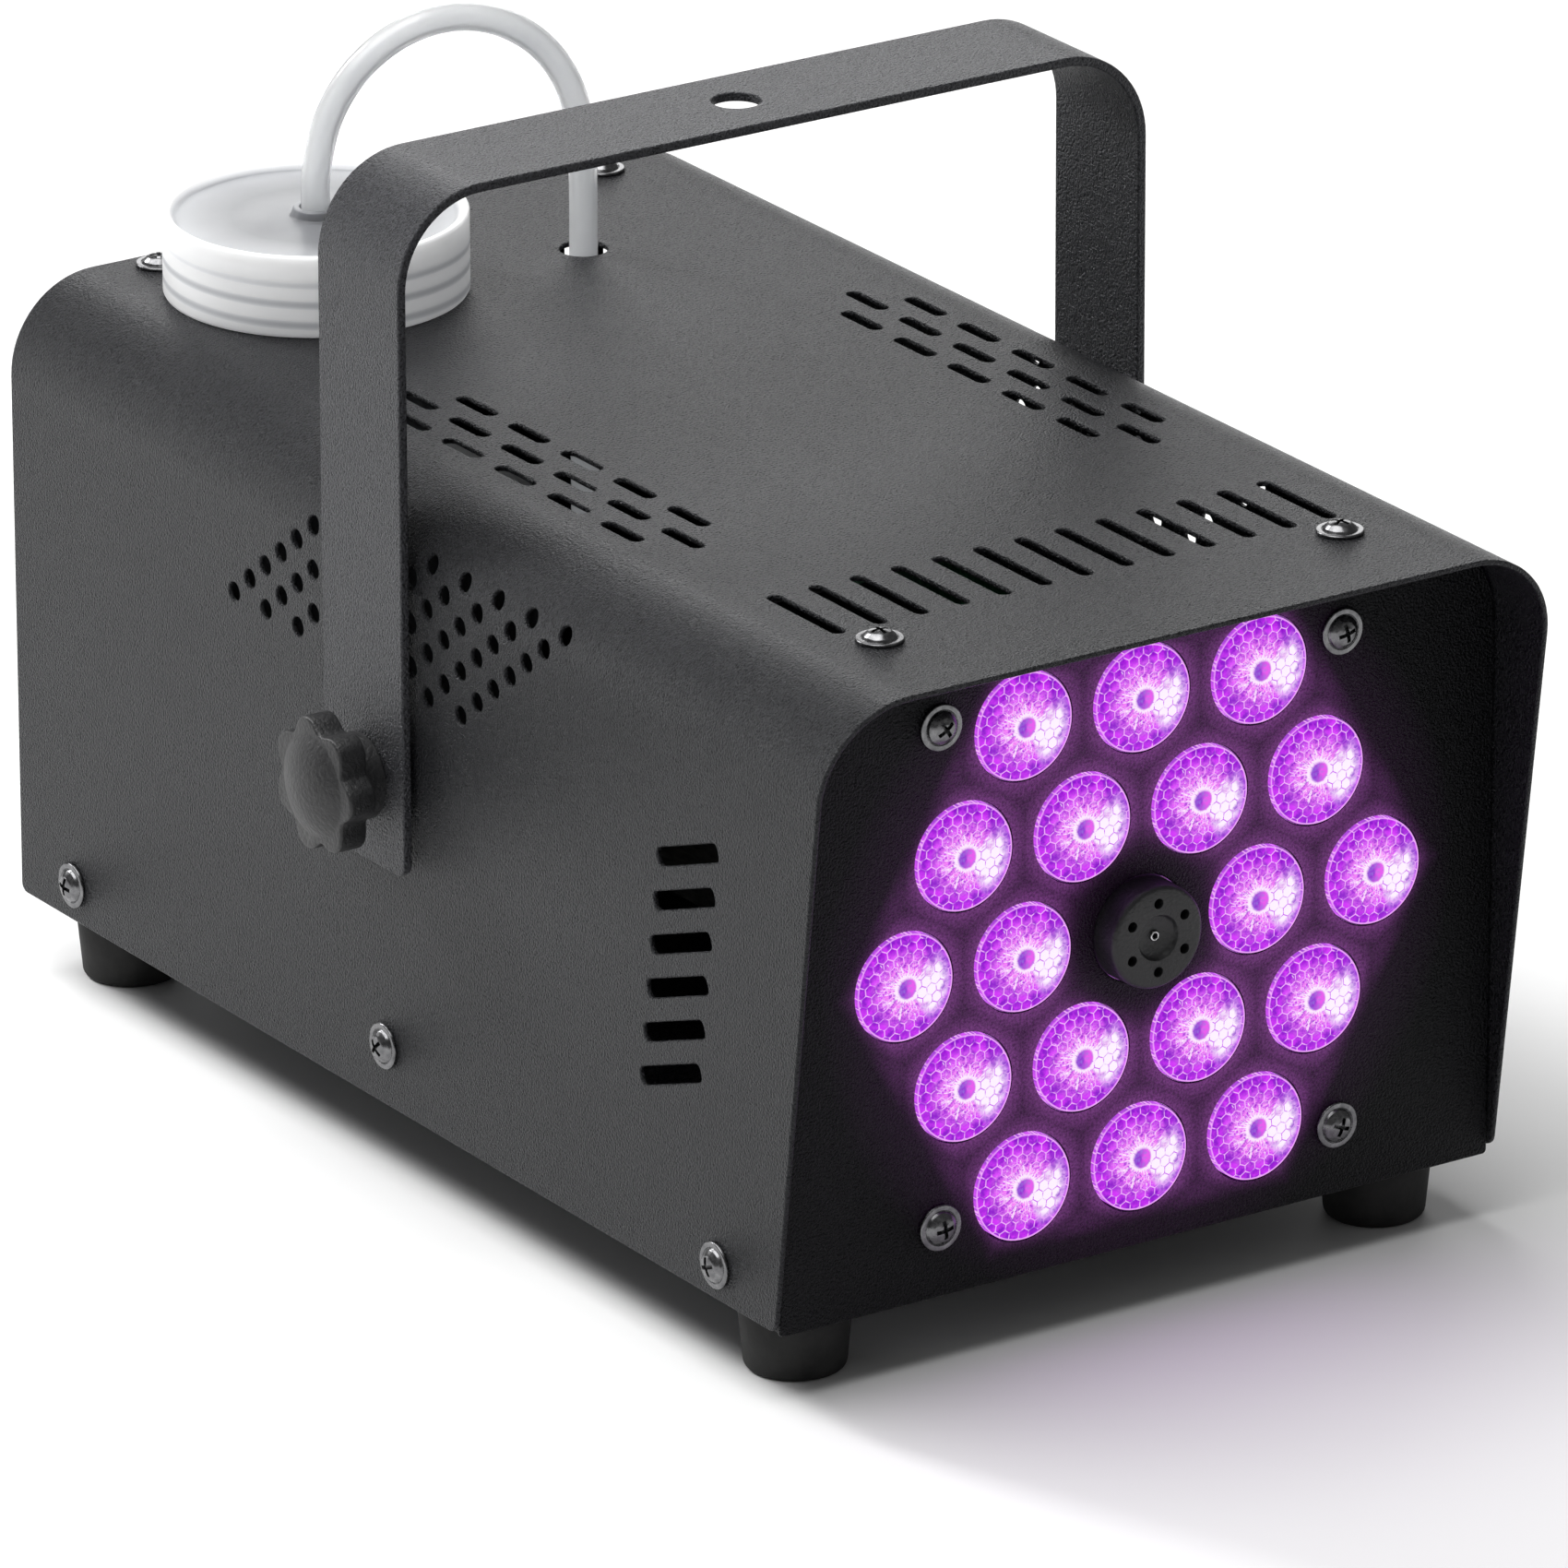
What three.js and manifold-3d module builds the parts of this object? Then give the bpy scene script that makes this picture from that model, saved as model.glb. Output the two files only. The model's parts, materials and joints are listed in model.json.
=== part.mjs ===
// LED fog machine: a sheet-metal housing with a tilting bracket, eighteen LED lenses round a
// fog nozzle, and the tank, pump, heater and boards inside it.
// Millimetres, +Z up, the front towards -Y. The housing is drawn with y = 0 at the foot of its
// front edge and z = 0 on the floor, and the whole machine is then centred on its own box.
import * as THREE from 'three';
import { mergeVertices } from 'three/addons/utils/BufferGeometryUtils.js';
import Module from 'manifold-3d';

const wasm = await Module();
wasm.setup();

// ---------- driving dimensions ----------
const gap = 0.3;                 // between pieces that touch
const boreClearance = 0.3;       // on the radius of a hole round a screw or a stud

const footHeight = 15;
const footTopDiameter = 23.3;
const footBottomDiameter = 20.5;
const footInset = 16.7;          // from the cover's side and rear to a foot's centre
const frontFootY = 18;
const footBoreDiameter = 9;
const footBoreDepth = 6;

const coverWidth = 173.6;
const coverLength = 286;         // along its lower edge
const coverHeight = 134.5;
const coverSheet = 1.2;
const coverBend = 20;            // outer radius of the two long bends
const coverLift = 1.5;           // its lower edge above the tray's underside
const hoodReach = 17.8;          // the top runs this far ahead of the lower edge

const panelSheet = 1.2;
const panelSetback = 0.5;        // front panel's face behind y = 0
const panelSideGap = 0.4;        // from either panel to the cover all round
const rearRecess = 3;            // rear panel's face inside the cover's rear edge
const frontFlangeDepth = 22;     // the front panel's top flange, where the cover is screwed down
const rearTabDepth = 8.6;        // the rear panel's two screw tabs
const rearTabWidth = 16;
const trayFlangeHeight = 12;

const nozzleHeight = 82.4;       // centre of the lens field above the floor
const lensPitch = 28;
const lensWeb = 5.8;              // between neighbouring lenses
const lensDiameter = lensPitch - lensWeb;
const lensFlange = 1;            // the rim behind the panel, on the radius
const lensDepth = 14.2;
const lensProud = 0.5;
const lensTail = 10;

const nozzleDiameter = 22;
const nozzleProud = 6.1;
const nozzleFlange = 2;          // behind the panel, on the radius
const nozzleFlangeDepth = 3.6;
const nozzleRecessDepth = 1.8;
const nozzleHoleDepth = 3;
const nozzleRecessDiameter = 9.2;
const nozzleBore = 2;
const nozzleHoleCircle = 7.2;
const nozzleHoleDiameter = 2.2;
const nozzleHoleCount = 6;       // one of them straight above the middle

const screwHeadDiameter = 9.7;
const screwHeadHeight = 2.1;
const screwShankDiameter = 4;
const screwShankLength = 10;
const topScrewX = 54.7;
const frontTopScrewY = 11;
const rearTopScrewInset = 7;
const panelScrewX = 47.7;
const panelScrewZ = 52.5;        // above and below the nozzle's centre

const frontSlotCount = 13;
const frontSlotPitch = 9.74;
const frontSlotLength = 25;
const frontSlotY = 31.1;
const traySlotY = 59.1;          // intake slots under the heater
const traySlotCount = 5;         // in the two side rows of intake slots
const slotWidth = 3;
const groupX = 54.7;
const groupY = 129.5;
const groupRowPitch = 7.88;
const groupPitch = 19.57;
const groupSlotLength = 13;

const sideHoleDiameter = 4;
const sideHoleRows = 7;
const sideHoleColumns = 8;
const sideHoleStepY = 6.12;      // each row is moved forward by this, each column by twice this
const sideHoleStepZ = 4.7;
const sideHoleY = 198.4;         // rearmost hole of the lowest row
const sideHoleZ = 110.1;
const louverCount = 6;
const louverPitch = 9.65;
const louverLength = 22.6;
const louverWidth = 3.8;
const louverCorner = 1.3;
const louverTilt = 20;           // degrees, rising towards the front
const louverInset = 42.4;        // behind the slanted front edge
const louverZ = 107;             // centre of the topmost one

const tubeHoleX = 24;
const tubeHoleY = 238.6;
const tubeHoleDiameter = 10;
const tankX = -35.6;
const tankY = 247.8;
const tankWidth = 82;
const tankLength = 54;
const tankHeight = 92;
const tankCorner = 10;
const tankWall = 2;
const neckDiameter = 55;
const neckWall = 2.4;
const neckTopBelowCap = 5;       // neck's rim under the top of the cap
const capDiameter = 63.5;
const capHeight = 17.3;
const capWall = 2.2;
const capRecess = 1.3;
const capTop = 2;
const capLift = 0.3;

const hoseDiameter = 6;
const weightDiameter = 12;
const weightHeight = 20;

const bracketWidth = 30;
const bracketSheet = 2;
const bracketSideGap = 1.3;      // from the cover's side to the bracket's leg
const bracketBend = 20;
const bracketPivotZ = 88.4;
const bracketPivotY = 144.1;
const bracketRise = 125.7;       // from the pivot to the top of the bar
const bracketDrop = 18;          // from the pivot to a leg's end
const bracketHoleDiameter = 10;
const spacerDiameter = 20;

const studDiameter = 6;
const knobHubDiameter = 18;
const knobHubHeight = 5.7;
const knobRadius = 13.6;
const knobLobe = 1.2;
const knobLobes = 7;
const knobThickness = 6.3;
const knobDomeHeight = 3.1;
const knobDomeDiameter = 21;
const knobStudExcess = 8;        // of the stud inside the cover

const boardSheet = 1.6;
const ledBoardWidth = 144;
const ledBoardHeight = 118;
const postDiameter = 8;
const boardCorner = 6;
const pipeHoleExcess = 6;        // of the LED board's hole over the pipe through it
const pipeDiameter = 8;
const pipeLength = 24;

const heaterWidth = 54;
const heaterHeight = 40;
const heaterLength = 128;
const heaterLegWidth = 6;
const jacketWall = 4;
const jacketLength = 96;
const jacketStart = 12;
const thermostatDiameter = 16;
const thermostatHeight = 7;

const pumpWidth = 32;
const pumpHeight = 40;
const pumpZ = 34;
const pumpBore = 9;
const pistonDiameter = 8.2;
const pistonLength = 22;
const pistonRest = 4;            // its foot above the pump's, between strokes
const pumpLid = 8;               // over the piston's bore
const pumpShoulder = 4;
const pumpShoulderDrop = 6;
const cradlePlate = 1.2;
const cradlePostDiameter = 7;
const nippleDiameter = 5;
const nippleBore = 3;
const nippleHeight = 12;
const supplyDiameter = 4;
const supplyX = 10;              // where the supply pipe leaves the heater
const supplyTopZ = 75;
const supplyZ = 60;
const supplyBend = 20;

const inletX = 56;
const inletZ = 42;
const inletFlangeWidth = 48;
const inletFlangeHeight = 24;
const inletBodyWidth = 28;
const inletBodyHeight = 20;
const inletDepth = 18;
const inletWall = 1.8;
const inletPins = [[-7, -2], [0, 2], [7, -2]];
const inletPinWidth = 2;
const inletPinHeight = 3.2;
const inletEarX = 20;
const inletEarDiameter = 3.4;
const flangeProud = 2.2;         // of everything fitted in the rear panel

const switchX = 16;
const switchFlangeWidth = 18;
const switchFlangeHeight = 24;
const switchBodyWidth = 14;
const switchBodyHeight = 20;
const switchDepth = 16;
const switchWall = 1.3;
const rockerDepth = 6;
const rockerProud = 1.8;
const rockerPivotY = -1.5;       // from the rear panel's face
const rockerTilt = 7;            // degrees, its top pressed in, as it lies when on

const fuseZ = 82;
const fuseDiameter = 16;
const fuseBodyDiameter = 12;
const fuseDepth = 22;
const fuseCapDiameter = 11;
const fuseCapProud = 5;
const fuseSlotWidth = 1.4;
const fuseSlotDepth = 1.2;

const socketZ = 88;
const socketFlange = 26;
const socketBodyDiameter = 22;
const socketBore = 17;
const socketDepth = 18;
const socketPinDiameter = 2;
const socketPinCircle = 5.5;
const socketPinCount = 5;

const controlBoardX = 68;
const controlBoardY = 168;
const controlBoardLength = 88;
const controlBoardHeight = 66;
const controlBoardZ = 30;
const boardParts = [             // y, z, length, height and rise of what is soldered to it
  [-30, 40, 26, 24, 22],
  [2, 40, 19, 16, 18],
  [28, 38, 14, 14, 24],
  [-2, 70, 30, 8, 10],
  [30, 68, 10, 12, 12],
];
const boardLegWidth = 6;
const boardLegReach = 8;

// ---------- places that follow from them ----------
const halfWidth = coverWidth / 2;
const trayTop = footHeight + panelSheet;
const coverFoot = footHeight + coverLift;
const coverTop = coverFoot + coverHeight;
const panelHalfWidth = halfWidth - coverSheet - panelSideGap;
const panelTop = coverTop - coverSheet - panelSideGap;
const panelCorner = coverBend - coverSheet - panelSideGap;
const frontPanelBack = panelSetback + panelSheet;
const rearPanelFace = coverLength - rearRecess;
const rearPanelInside = rearPanelFace - panelSheet;
const ledBoardFace = lensDepth - lensProud + gap;
const bracketHalfWidth = halfWidth + bracketSideGap + bracketSheet;
const capFoot = coverTop + capLift;
const neckTop = capFoot + capHeight - neckTopBelowCap;
const nozzleBack = frontPanelBack + gap + nozzleFlangeDepth + 0.1;
const heaterFront = nozzleBack + pipeLength + 3 * gap;
const heaterBack = heaterFront + heaterLength;
const pumpX = tubeHoleX;
const pumpY = tubeHoleY;
const hoseEndZ = pumpZ + pumpHeight + nippleHeight + gap;
const rearMost = rearPanelFace + gap + flangeProud + fuseCapProud;
const centreY = (rearMost - hoodReach) / 2;

// ---------- materials ----------
function paint(color, roughness, metalness) {
  return new THREE.MeshStandardMaterial({ color, roughness, metalness });
}
const powderBlack = paint(0x1c1d1f, 0.62, 0.1);
const mouldedBlack = paint(0x141415, 0.5, 0);
const rubber = paint(0x111112, 0.85, 0);
const lensViolet = paint(0xa24be8, 0.1, 0);
const clearPlastic = paint(0xd9dee0, 0.35, 0);
const steelDark = paint(0x3a3b3e, 0.35, 0.9);
const steelBright = paint(0xb9bcc0, 0.3, 1);
const aluminium = paint(0xa9acb0, 0.45, 0.9);
const felt = paint(0xc9c3b2, 0.95, 0);
const boardWhite = paint(0xe6e8ea, 0.5, 0);
const boardGreen = paint(0x1f5a34, 0.5, 0);
const copper = paint(0xb46f42, 0.35, 1);
const brass = paint(0xb99a55, 0.3, 1);

// ---------- solids ----------
function closed(geometry) {
  const bare = geometry.clone();
  bare.deleteAttribute('normal');
  bare.deleteAttribute('uv');
  const merged = mergeVertices(bare, 1e-4);
  const position = merged.attributes.position;
  const triangles = [];
  let volume = 0;
  const a = new THREE.Vector3();
  const b = new THREE.Vector3();
  const c = new THREE.Vector3();
  for (let i = 0; i < merged.index.count; i += 3) {
    const corners = [0, 1, 2].map((k) => merged.index.getX(i + k));
    if (new Set(corners).size < 3) continue;
    a.fromBufferAttribute(position, corners[0]);
    b.fromBufferAttribute(position, corners[1]);
    c.fromBufferAttribute(position, corners[2]);
    volume += a.dot(b.cross(c));
    triangles.push(corners);
  }
  if (volume < 0) triangles.forEach((corners) => corners.reverse());
  const vertProperties = new Float32Array(position.array);
  const triVerts = new Uint32Array(triangles.flat());
  return new wasm.Manifold(new wasm.Mesh({ numProp: 3, vertProperties, triVerts }));
}

function geometryOf(solid) {
  const { vertProperties, triVerts } = solid.getMesh();
  const geometry = new THREE.BufferGeometry();
  geometry.setAttribute('position', new THREE.BufferAttribute(vertProperties, 3));
  geometry.setIndex(new THREE.BufferAttribute(triVerts, 1));
  geometry.computeVertexNormals();
  return geometry;
}

function cut(solid, tools) {
  return wasm.Manifold.difference([solid, ...tools]);
}

function join(pieces) {
  return wasm.Manifold.union(pieces);
}

function block(x0, x1, y0, y1, z0, z1) {
  const geometry = new THREE.BoxGeometry(x1 - x0, y1 - y0, z1 - z0);
  geometry.translate((x0 + x1) / 2, (y0 + y1) / 2, (z0 + z1) / 2);
  return closed(geometry);
}

function extruded(shape, depth, curveSegments = 4) {
  return new THREE.ExtrudeGeometry(shape, { depth, bevelEnabled: false, curveSegments });
}

// a shape drawn in x and z, running from y0 to y1
function alongY(shape, y0, y1, curveSegments) {
  const geometry = extruded(shape, y1 - y0, curveSegments);
  geometry.rotateX(Math.PI / 2);
  geometry.translate(0, y1, 0);
  return closed(geometry);
}

// a shape drawn in x and y, running from z0 to z1
function alongZ(shape, z0, z1, curveSegments) {
  const geometry = extruded(shape, z1 - z0, curveSegments);
  geometry.translate(0, 0, z0);
  return closed(geometry);
}

// a shape drawn in y and z, running from x0 to x1
function alongX(shape, x0, x1, curveSegments) {
  const geometry = extruded(shape, x1 - x0, curveSegments);
  const turn = new THREE.Matrix4().makeBasis(
    new THREE.Vector3(0, 1, 0),
    new THREE.Vector3(0, 0, 1),
    new THREE.Vector3(1, 0, 0),
  );
  geometry.applyMatrix4(turn);
  geometry.translate(x0, 0, 0);
  return closed(geometry);
}

function polygon(points) {
  return new THREE.Shape(points.map(([u, v]) => new THREE.Vector2(u, v)));
}

function roundedRectangle(u0, u1, v0, v1, radius) {
  const shape = new THREE.Shape();
  shape.absarc(u1 - radius, v1 - radius, radius, 0, Math.PI / 2);
  shape.absarc(u0 + radius, v1 - radius, radius, Math.PI / 2, Math.PI);
  shape.absarc(u0 + radius, v0 + radius, radius, Math.PI, 1.5 * Math.PI);
  shape.absarc(u1 - radius, v0 + radius, radius, 1.5 * Math.PI, 2 * Math.PI);
  return shape;
}

// a slot with round ends, centred on (u, v), its length turned by `angle` from the u axis
function slot(u, v, length, width, angle) {
  const shape = new THREE.Shape();
  const reach = (length - width) / 2;
  const along = [Math.cos(angle) * reach, Math.sin(angle) * reach];
  const right = angle - Math.PI / 2;
  shape.absarc(u + along[0], v + along[1], width / 2, right, right + Math.PI);
  shape.absarc(u - along[0], v - along[1], width / 2, right + Math.PI, right + 2 * Math.PI);
  return shape;
}

// a rounded rectangle centred on (u, v), its length turned by `angle` from the u axis
function turnedRectangle(u, v, length, width, corner, angle) {
  const flat = roundedRectangle(-length / 2, length / 2, -width / 2, width / 2, corner).getPoints(2);
  const centre = new THREE.Vector2(0, 0);
  const place = new THREE.Vector2(u, v);
  return new THREE.Shape(flat.map((point) => point.rotateAround(centre, angle).add(place)));
}

// a solid of revolution round the y axis, from [radius, height] points
function turned(points, sides = 16) {
  const profile = points.map(([radius, height]) => new THREE.Vector2(radius, height));
  return closed(new THREE.LatheGeometry(profile, sides));
}

function rod(diameter, y0, y1, sides = 12) {
  const radius = diameter / 2;
  return turned([[0, y0], [radius, y0], [radius, y1], [0, y1]], sides);
}

function ring(outer, inner, y0, y1, sides = 16) {
  const [r0, r1] = [inner / 2, outer / 2];
  return turned([[r0, y0], [r1, y0], [r1, y1], [r0, y1], [r0, y0]], sides);
}

// a round bar or cutter along y at (x, z), along z at (x, y), or along x at (y, z), with its
// flats on the circle, so that a round piece of that diameter fits the hole it cuts
function roundY(x, z, diameter, y0, y1, sides = 12) {
  return roundBar(new THREE.Vector3(x, (y0 + y1) / 2, z), [0, 0, 0], diameter, y1 - y0, sides);
}

function roundZ(x, y, diameter, z0, z1, sides = 12) {
  return roundBar(new THREE.Vector3(x, y, (z0 + z1) / 2), [Math.PI / 2, 0, 0], diameter, z1 - z0, sides);
}

function roundX(y, z, diameter, x0, x1, sides = 12) {
  return roundBar(new THREE.Vector3((x0 + x1) / 2, y, z), [0, 0, Math.PI / 2], diameter, x1 - x0, sides);
}

function roundBar(centre, turn, diameter, length, sides) {
  const radius = diameter / 2 / Math.cos(Math.PI / sides);
  const geometry = new THREE.CylinderGeometry(radius, radius, length, sides);
  const pose = new THREE.Matrix4().makeRotationFromEuler(new THREE.Euler(...turn));
  geometry.applyMatrix4(pose.setPosition(centre));
  return closed(geometry);
}

// one turn followed by another, as Euler angles
function turnAfter(first, second) {
  const pose = new THREE.Matrix4().makeRotationFromEuler(new THREE.Euler(...second));
  pose.multiply(new THREE.Matrix4().makeRotationFromEuler(new THREE.Euler(...first)));
  return new THREE.Euler().setFromRotationMatrix(pose).toArray().slice(0, 3);
}

const machine = new THREE.Group();
machine.position.y = -centreY;

function place(name, solid, material, position = [0, 0, 0], rotation = [0, 0, 0]) {
  const mesh = new THREE.Mesh(geometryOf(solid), material);
  mesh.name = name;
  mesh.position.set(...position);
  mesh.rotation.set(...rotation);
  machine.add(mesh);
}

const facingFront = [Math.PI, 0, 0];
const facingUp = [Math.PI / 2, 0, 0];
const facingRight = [0, 0, -Math.PI / 2];
const facingLeft = [0, 0, Math.PI / 2];

// ---------- housing ----------
// a strip bent into an upside-down U: half its width, its top and its feet, drawn in x and z
function bentStrip(half, top, foot, bend, sheet) {
  const inner = bend - sheet;
  const shape = new THREE.Shape();
  shape.moveTo(half, foot);
  shape.lineTo(half, top - bend);
  shape.absarc(half - bend, top - bend, bend, 0, Math.PI / 2);
  shape.absarc(bend - half, top - bend, bend, Math.PI / 2, Math.PI);
  shape.lineTo(-half, foot);
  shape.lineTo(sheet - half, foot);
  shape.absarc(bend - half, top - bend, inner, Math.PI, Math.PI / 2, true);
  shape.absarc(half - bend, top - bend, inner, Math.PI / 2, 0, true);
  shape.lineTo(half - sheet, foot);
  return shape;
}

function frontEdgeY(z) {
  return -hoodReach * (z - coverFoot) / coverHeight;
}

function topCutters() {
  const z0 = coverTop - 2 * coverSheet;
  const z1 = coverTop + coverSheet;
  const tools = [];
  for (let i = 0; i < frontSlotCount; i += 1) {
    const x = (i - (frontSlotCount - 1) / 2) * frontSlotPitch;
    tools.push(alongZ(slot(x, frontSlotY, frontSlotLength, slotWidth, Math.PI / 2), z0, z1, 2));
  }
  for (const side of [-1, 1]) {
    for (const row of [-1, 0, 1]) {
      const count = row === 0 ? 6 : 5;
      for (let i = 0; i < count; i += 1) {
        const x = side * groupX + row * groupRowPitch;
        const y = groupY + (i - (count - 1) / 2) * groupPitch;
        tools.push(alongZ(slot(x, y, groupSlotLength, slotWidth, Math.PI / 2), z0, z1, 2));
      }
    }
    const screwBore = screwShankDiameter + 2 * boreClearance;
    tools.push(roundZ(side * topScrewX, frontTopScrewY, screwBore, z0, z1, 8));
    tools.push(roundZ(side * topScrewX, coverLength - rearTopScrewInset, screwBore, z0, z1, 8));
  }
  tools.push(roundZ(tubeHoleX, tubeHoleY, tubeHoleDiameter, z0, z1, 12));
  tools.push(roundZ(tankX, tankY, neckDiameter + 2, z0, z1, 24));
  return tools;
}

// a hole through the side, square to the sheet where it starts to bend
function sideHole(side, y, z) {
  const bendCentreZ = coverTop - coverBend;
  const angle = Math.max(0, z - bendCentreZ) / coverBend;
  const x = side * (halfWidth - coverBend + coverBend * Math.cos(angle));
  const height = Math.min(z, bendCentreZ) + coverBend * Math.sin(angle);
  const across = [0, 0, Math.PI / 2];
  const turn = turnAfter(across, [0, -side * angle, 0]);
  return roundBar(new THREE.Vector3(x, y, height), turn, sideHoleDiameter, 6 * coverSheet, 6);
}

function sideCutters(side) {
  const inner = side * (halfWidth - 3 * coverSheet);
  const outer = side * (halfWidth + coverSheet);
  const [x0, x1] = [Math.min(inner, outer), Math.max(inner, outer)];
  const tools = [];
  for (let row = 0; row < sideHoleRows; row += 1) {
    for (let column = 0; column < sideHoleColumns; column += 1) {
      const y = sideHoleY - (2 * column + row) * sideHoleStepY;
      tools.push(sideHole(side, y, sideHoleZ + row * sideHoleStepZ));
    }
  }
  for (let i = 0; i < louverCount; i += 1) {
    const z = louverZ - i * louverPitch;
    const y = frontEdgeY(z) + louverInset;
    const tilt = THREE.MathUtils.degToRad(-louverTilt);
    const louver = turnedRectangle(y, z, louverLength, louverWidth, louverCorner, tilt);
    tools.push(alongX(louver, x0, x1));
  }
  tools.push(roundX(bracketPivotY, bracketPivotZ, studDiameter + 2 * boreClearance, x0, x1));
  return tools;
}

function cover() {
  const shell = alongY(
    bentStrip(halfWidth, coverTop, coverFoot, coverBend, coverSheet), -hoodReach, coverLength, 6);
  const below = coverFoot - 1;
  const above = coverTop + 1;
  const ahead = -2 * hoodReach;
  const edge = [[frontEdgeY(below), below], [frontEdgeY(above), above]];
  const slant = polygon([[ahead, below], ...edge, [ahead, above]]);
  const wedge = alongX(slant, -coverWidth, coverWidth);
  const shaped = cut(shell, [wedge]);
  place('cover', cut(shaped, [...topCutters(), ...sideCutters(-1), ...sideCutters(1)]), powderBlack);
}

function lensCentres() {
  const rowStep = lensPitch * Math.sqrt(3) / 2;
  const rows = [[-1, 0, 1], [-1.5, -0.5, 0.5, 1.5], [-2, -1, 1, 2], [-1.5, -0.5, 0.5, 1.5], [-1, 0, 1]];
  return rows.flatMap((row, i) => row.map((u) => [u * lensPitch, nozzleHeight + (2 - i) * rowStep]));
}

function panelOutline() {
  const shape = new THREE.Shape();
  shape.moveTo(panelHalfWidth, footHeight);
  shape.lineTo(panelHalfWidth, panelTop - panelCorner);
  shape.absarc(panelHalfWidth - panelCorner, panelTop - panelCorner, panelCorner, 0, Math.PI / 2);
  shape.absarc(panelCorner - panelHalfWidth, panelTop - panelCorner, panelCorner, Math.PI / 2, Math.PI);
  shape.lineTo(-panelHalfWidth, footHeight);
  return shape;
}

function panelScrewPlaces() {
  const places = [];
  for (const x of [-panelScrewX, panelScrewX]) {
    for (const rise of [-panelScrewZ, panelScrewZ]) places.push([x, nozzleHeight + rise]);
  }
  return places;
}

function frontPanel() {
  const y0 = panelSetback;
  const y1 = frontPanelBack;
  const flangeHalf = topScrewX + 2 * screwShankDiameter;
  const sheet = join([
    alongY(panelOutline(), y0, y1, 5),
    block(-flangeHalf, flangeHalf, y0, y0 + frontFlangeDepth, panelTop - panelSheet, panelTop),
  ]);
  const screwBore = screwShankDiameter + 2 * boreClearance;
  const tools = lensCentres().map(([x, z]) => roundY(x, z, lensDiameter + 2 * gap, y0 - 1, y1 + 1, 12));
  tools.push(roundY(0, nozzleHeight, nozzleDiameter + 2 * gap, y0 - 1, y1 + 1, 16));
  panelScrewPlaces().forEach(([x, z]) => tools.push(roundY(x, z, screwBore, y0 - 1, y1 + 1, 8)));
  for (const x of [-topScrewX, topScrewX]) {
    tools.push(roundZ(x, frontTopScrewY, screwBore, panelTop - 2 * panelSheet, panelTop + 1, 8));
  }
  place('front_panel', cut(sheet, tools), powderBlack);
}

function rearPanel() {
  const y0 = rearPanelInside;
  const y1 = rearPanelFace;
  const tabs = [-topScrewX, topScrewX].map((x) => block(
    x - rearTabWidth / 2, x + rearTabWidth / 2, y1 - rearTabDepth, y1, panelTop - panelSheet, panelTop));
  const sheet = join([alongY(panelOutline(), y0, y1, 5), ...tabs]);
  const opening = (x, z, width, height) => block(
    x - width / 2 - gap, x + width / 2 + gap, y0 - 1, y1 + 1, z - height / 2 - gap, z + height / 2 + gap);
  const tools = [
    opening(inletX, inletZ, inletBodyWidth, inletBodyHeight),
    opening(switchX, inletZ, switchBodyWidth, switchBodyHeight),
    roundY(switchX, fuseZ, fuseBodyDiameter + 2 * gap, y0 - 1, y1 + 1),
    roundY(inletX, socketZ, socketBodyDiameter + 2 * gap, y0 - 1, y1 + 1, 16),
  ];
  const screwBore = screwShankDiameter + 2 * boreClearance;
  for (const x of [-topScrewX, topScrewX]) {
    const y = coverLength - rearTopScrewInset;
    tools.push(roundZ(x, y, screwBore, panelTop - 2 * panelSheet, panelTop + 1, 8));
  }
  const ventZ = panelTop - panelCorner;
  for (let i = 0; i < frontSlotCount; i += 1) {
    const x = (i - (frontSlotCount - 1) / 2) * frontSlotPitch;
    const turnedSlot = slot(x, ventZ, groupSlotLength, slotWidth, Math.PI / 2);
    tools.push(alongY(turnedSlot, y0 - 1, y1 + 1, 2));
  }
  place('rear_panel', cut(sheet, tools), powderBlack);
}

function baseTray() {
  const y0 = frontPanelBack + gap;
  const y1 = rearPanelInside - gap;
  const pieces = [block(-panelHalfWidth, panelHalfWidth, y0, y1, footHeight, trayTop)];
  for (const side of [-1, 1]) {
    const edges = [side * panelHalfWidth, side * (panelHalfWidth - panelSheet)].sort((p, q) => p - q);
    pieces.push(block(edges[0], edges[1], y0, y1, footHeight, trayTop + trayFlangeHeight));
  }
  const tools = [];
  for (let i = 0; i < frontSlotCount; i += 1) {
    const x = (i - (frontSlotCount - 1) / 2) * frontSlotPitch;
    const intake = slot(x, traySlotY, frontSlotLength, slotWidth, Math.PI / 2);
    tools.push(alongZ(intake, footHeight - 1, trayTop + 1, 2));
  }
  for (const side of [-1, 1]) {
    for (let i = 0; i < traySlotCount; i += 1) {
      const y = groupY + (i - (traySlotCount - 1) / 2) * groupPitch;
      const intake = slot(side * groupX, y, groupSlotLength, slotWidth, Math.PI / 2);
      tools.push(alongZ(intake, footHeight - 1, trayTop + 1, 2));
    }
  }
  place('base_tray', cut(join(pieces), tools), powderBlack);
}

function feet() {
  const top = footTopDiameter / 2;
  const bottom = footBottomDiameter / 2;
  const bore = footBoreDiameter / 2;
  const height = footHeight - gap;
  const foot = turned([
    [0, footBoreDepth], [bore, footBoreDepth], [bore, 0], [bottom, 0], [top, height], [0, height],
  ], 12);
  const x = halfWidth - footInset;
  const rows = [['front', frontFootY], ['rear', coverLength - footInset]];
  for (const [row, y] of rows) {
    place(`foot_${row}_left`, foot, rubber, [-x, y, 0], facingUp);
    place(`foot_${row}_right`, foot, rubber, [x, y, 0], facingUp);
  }
}

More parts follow.
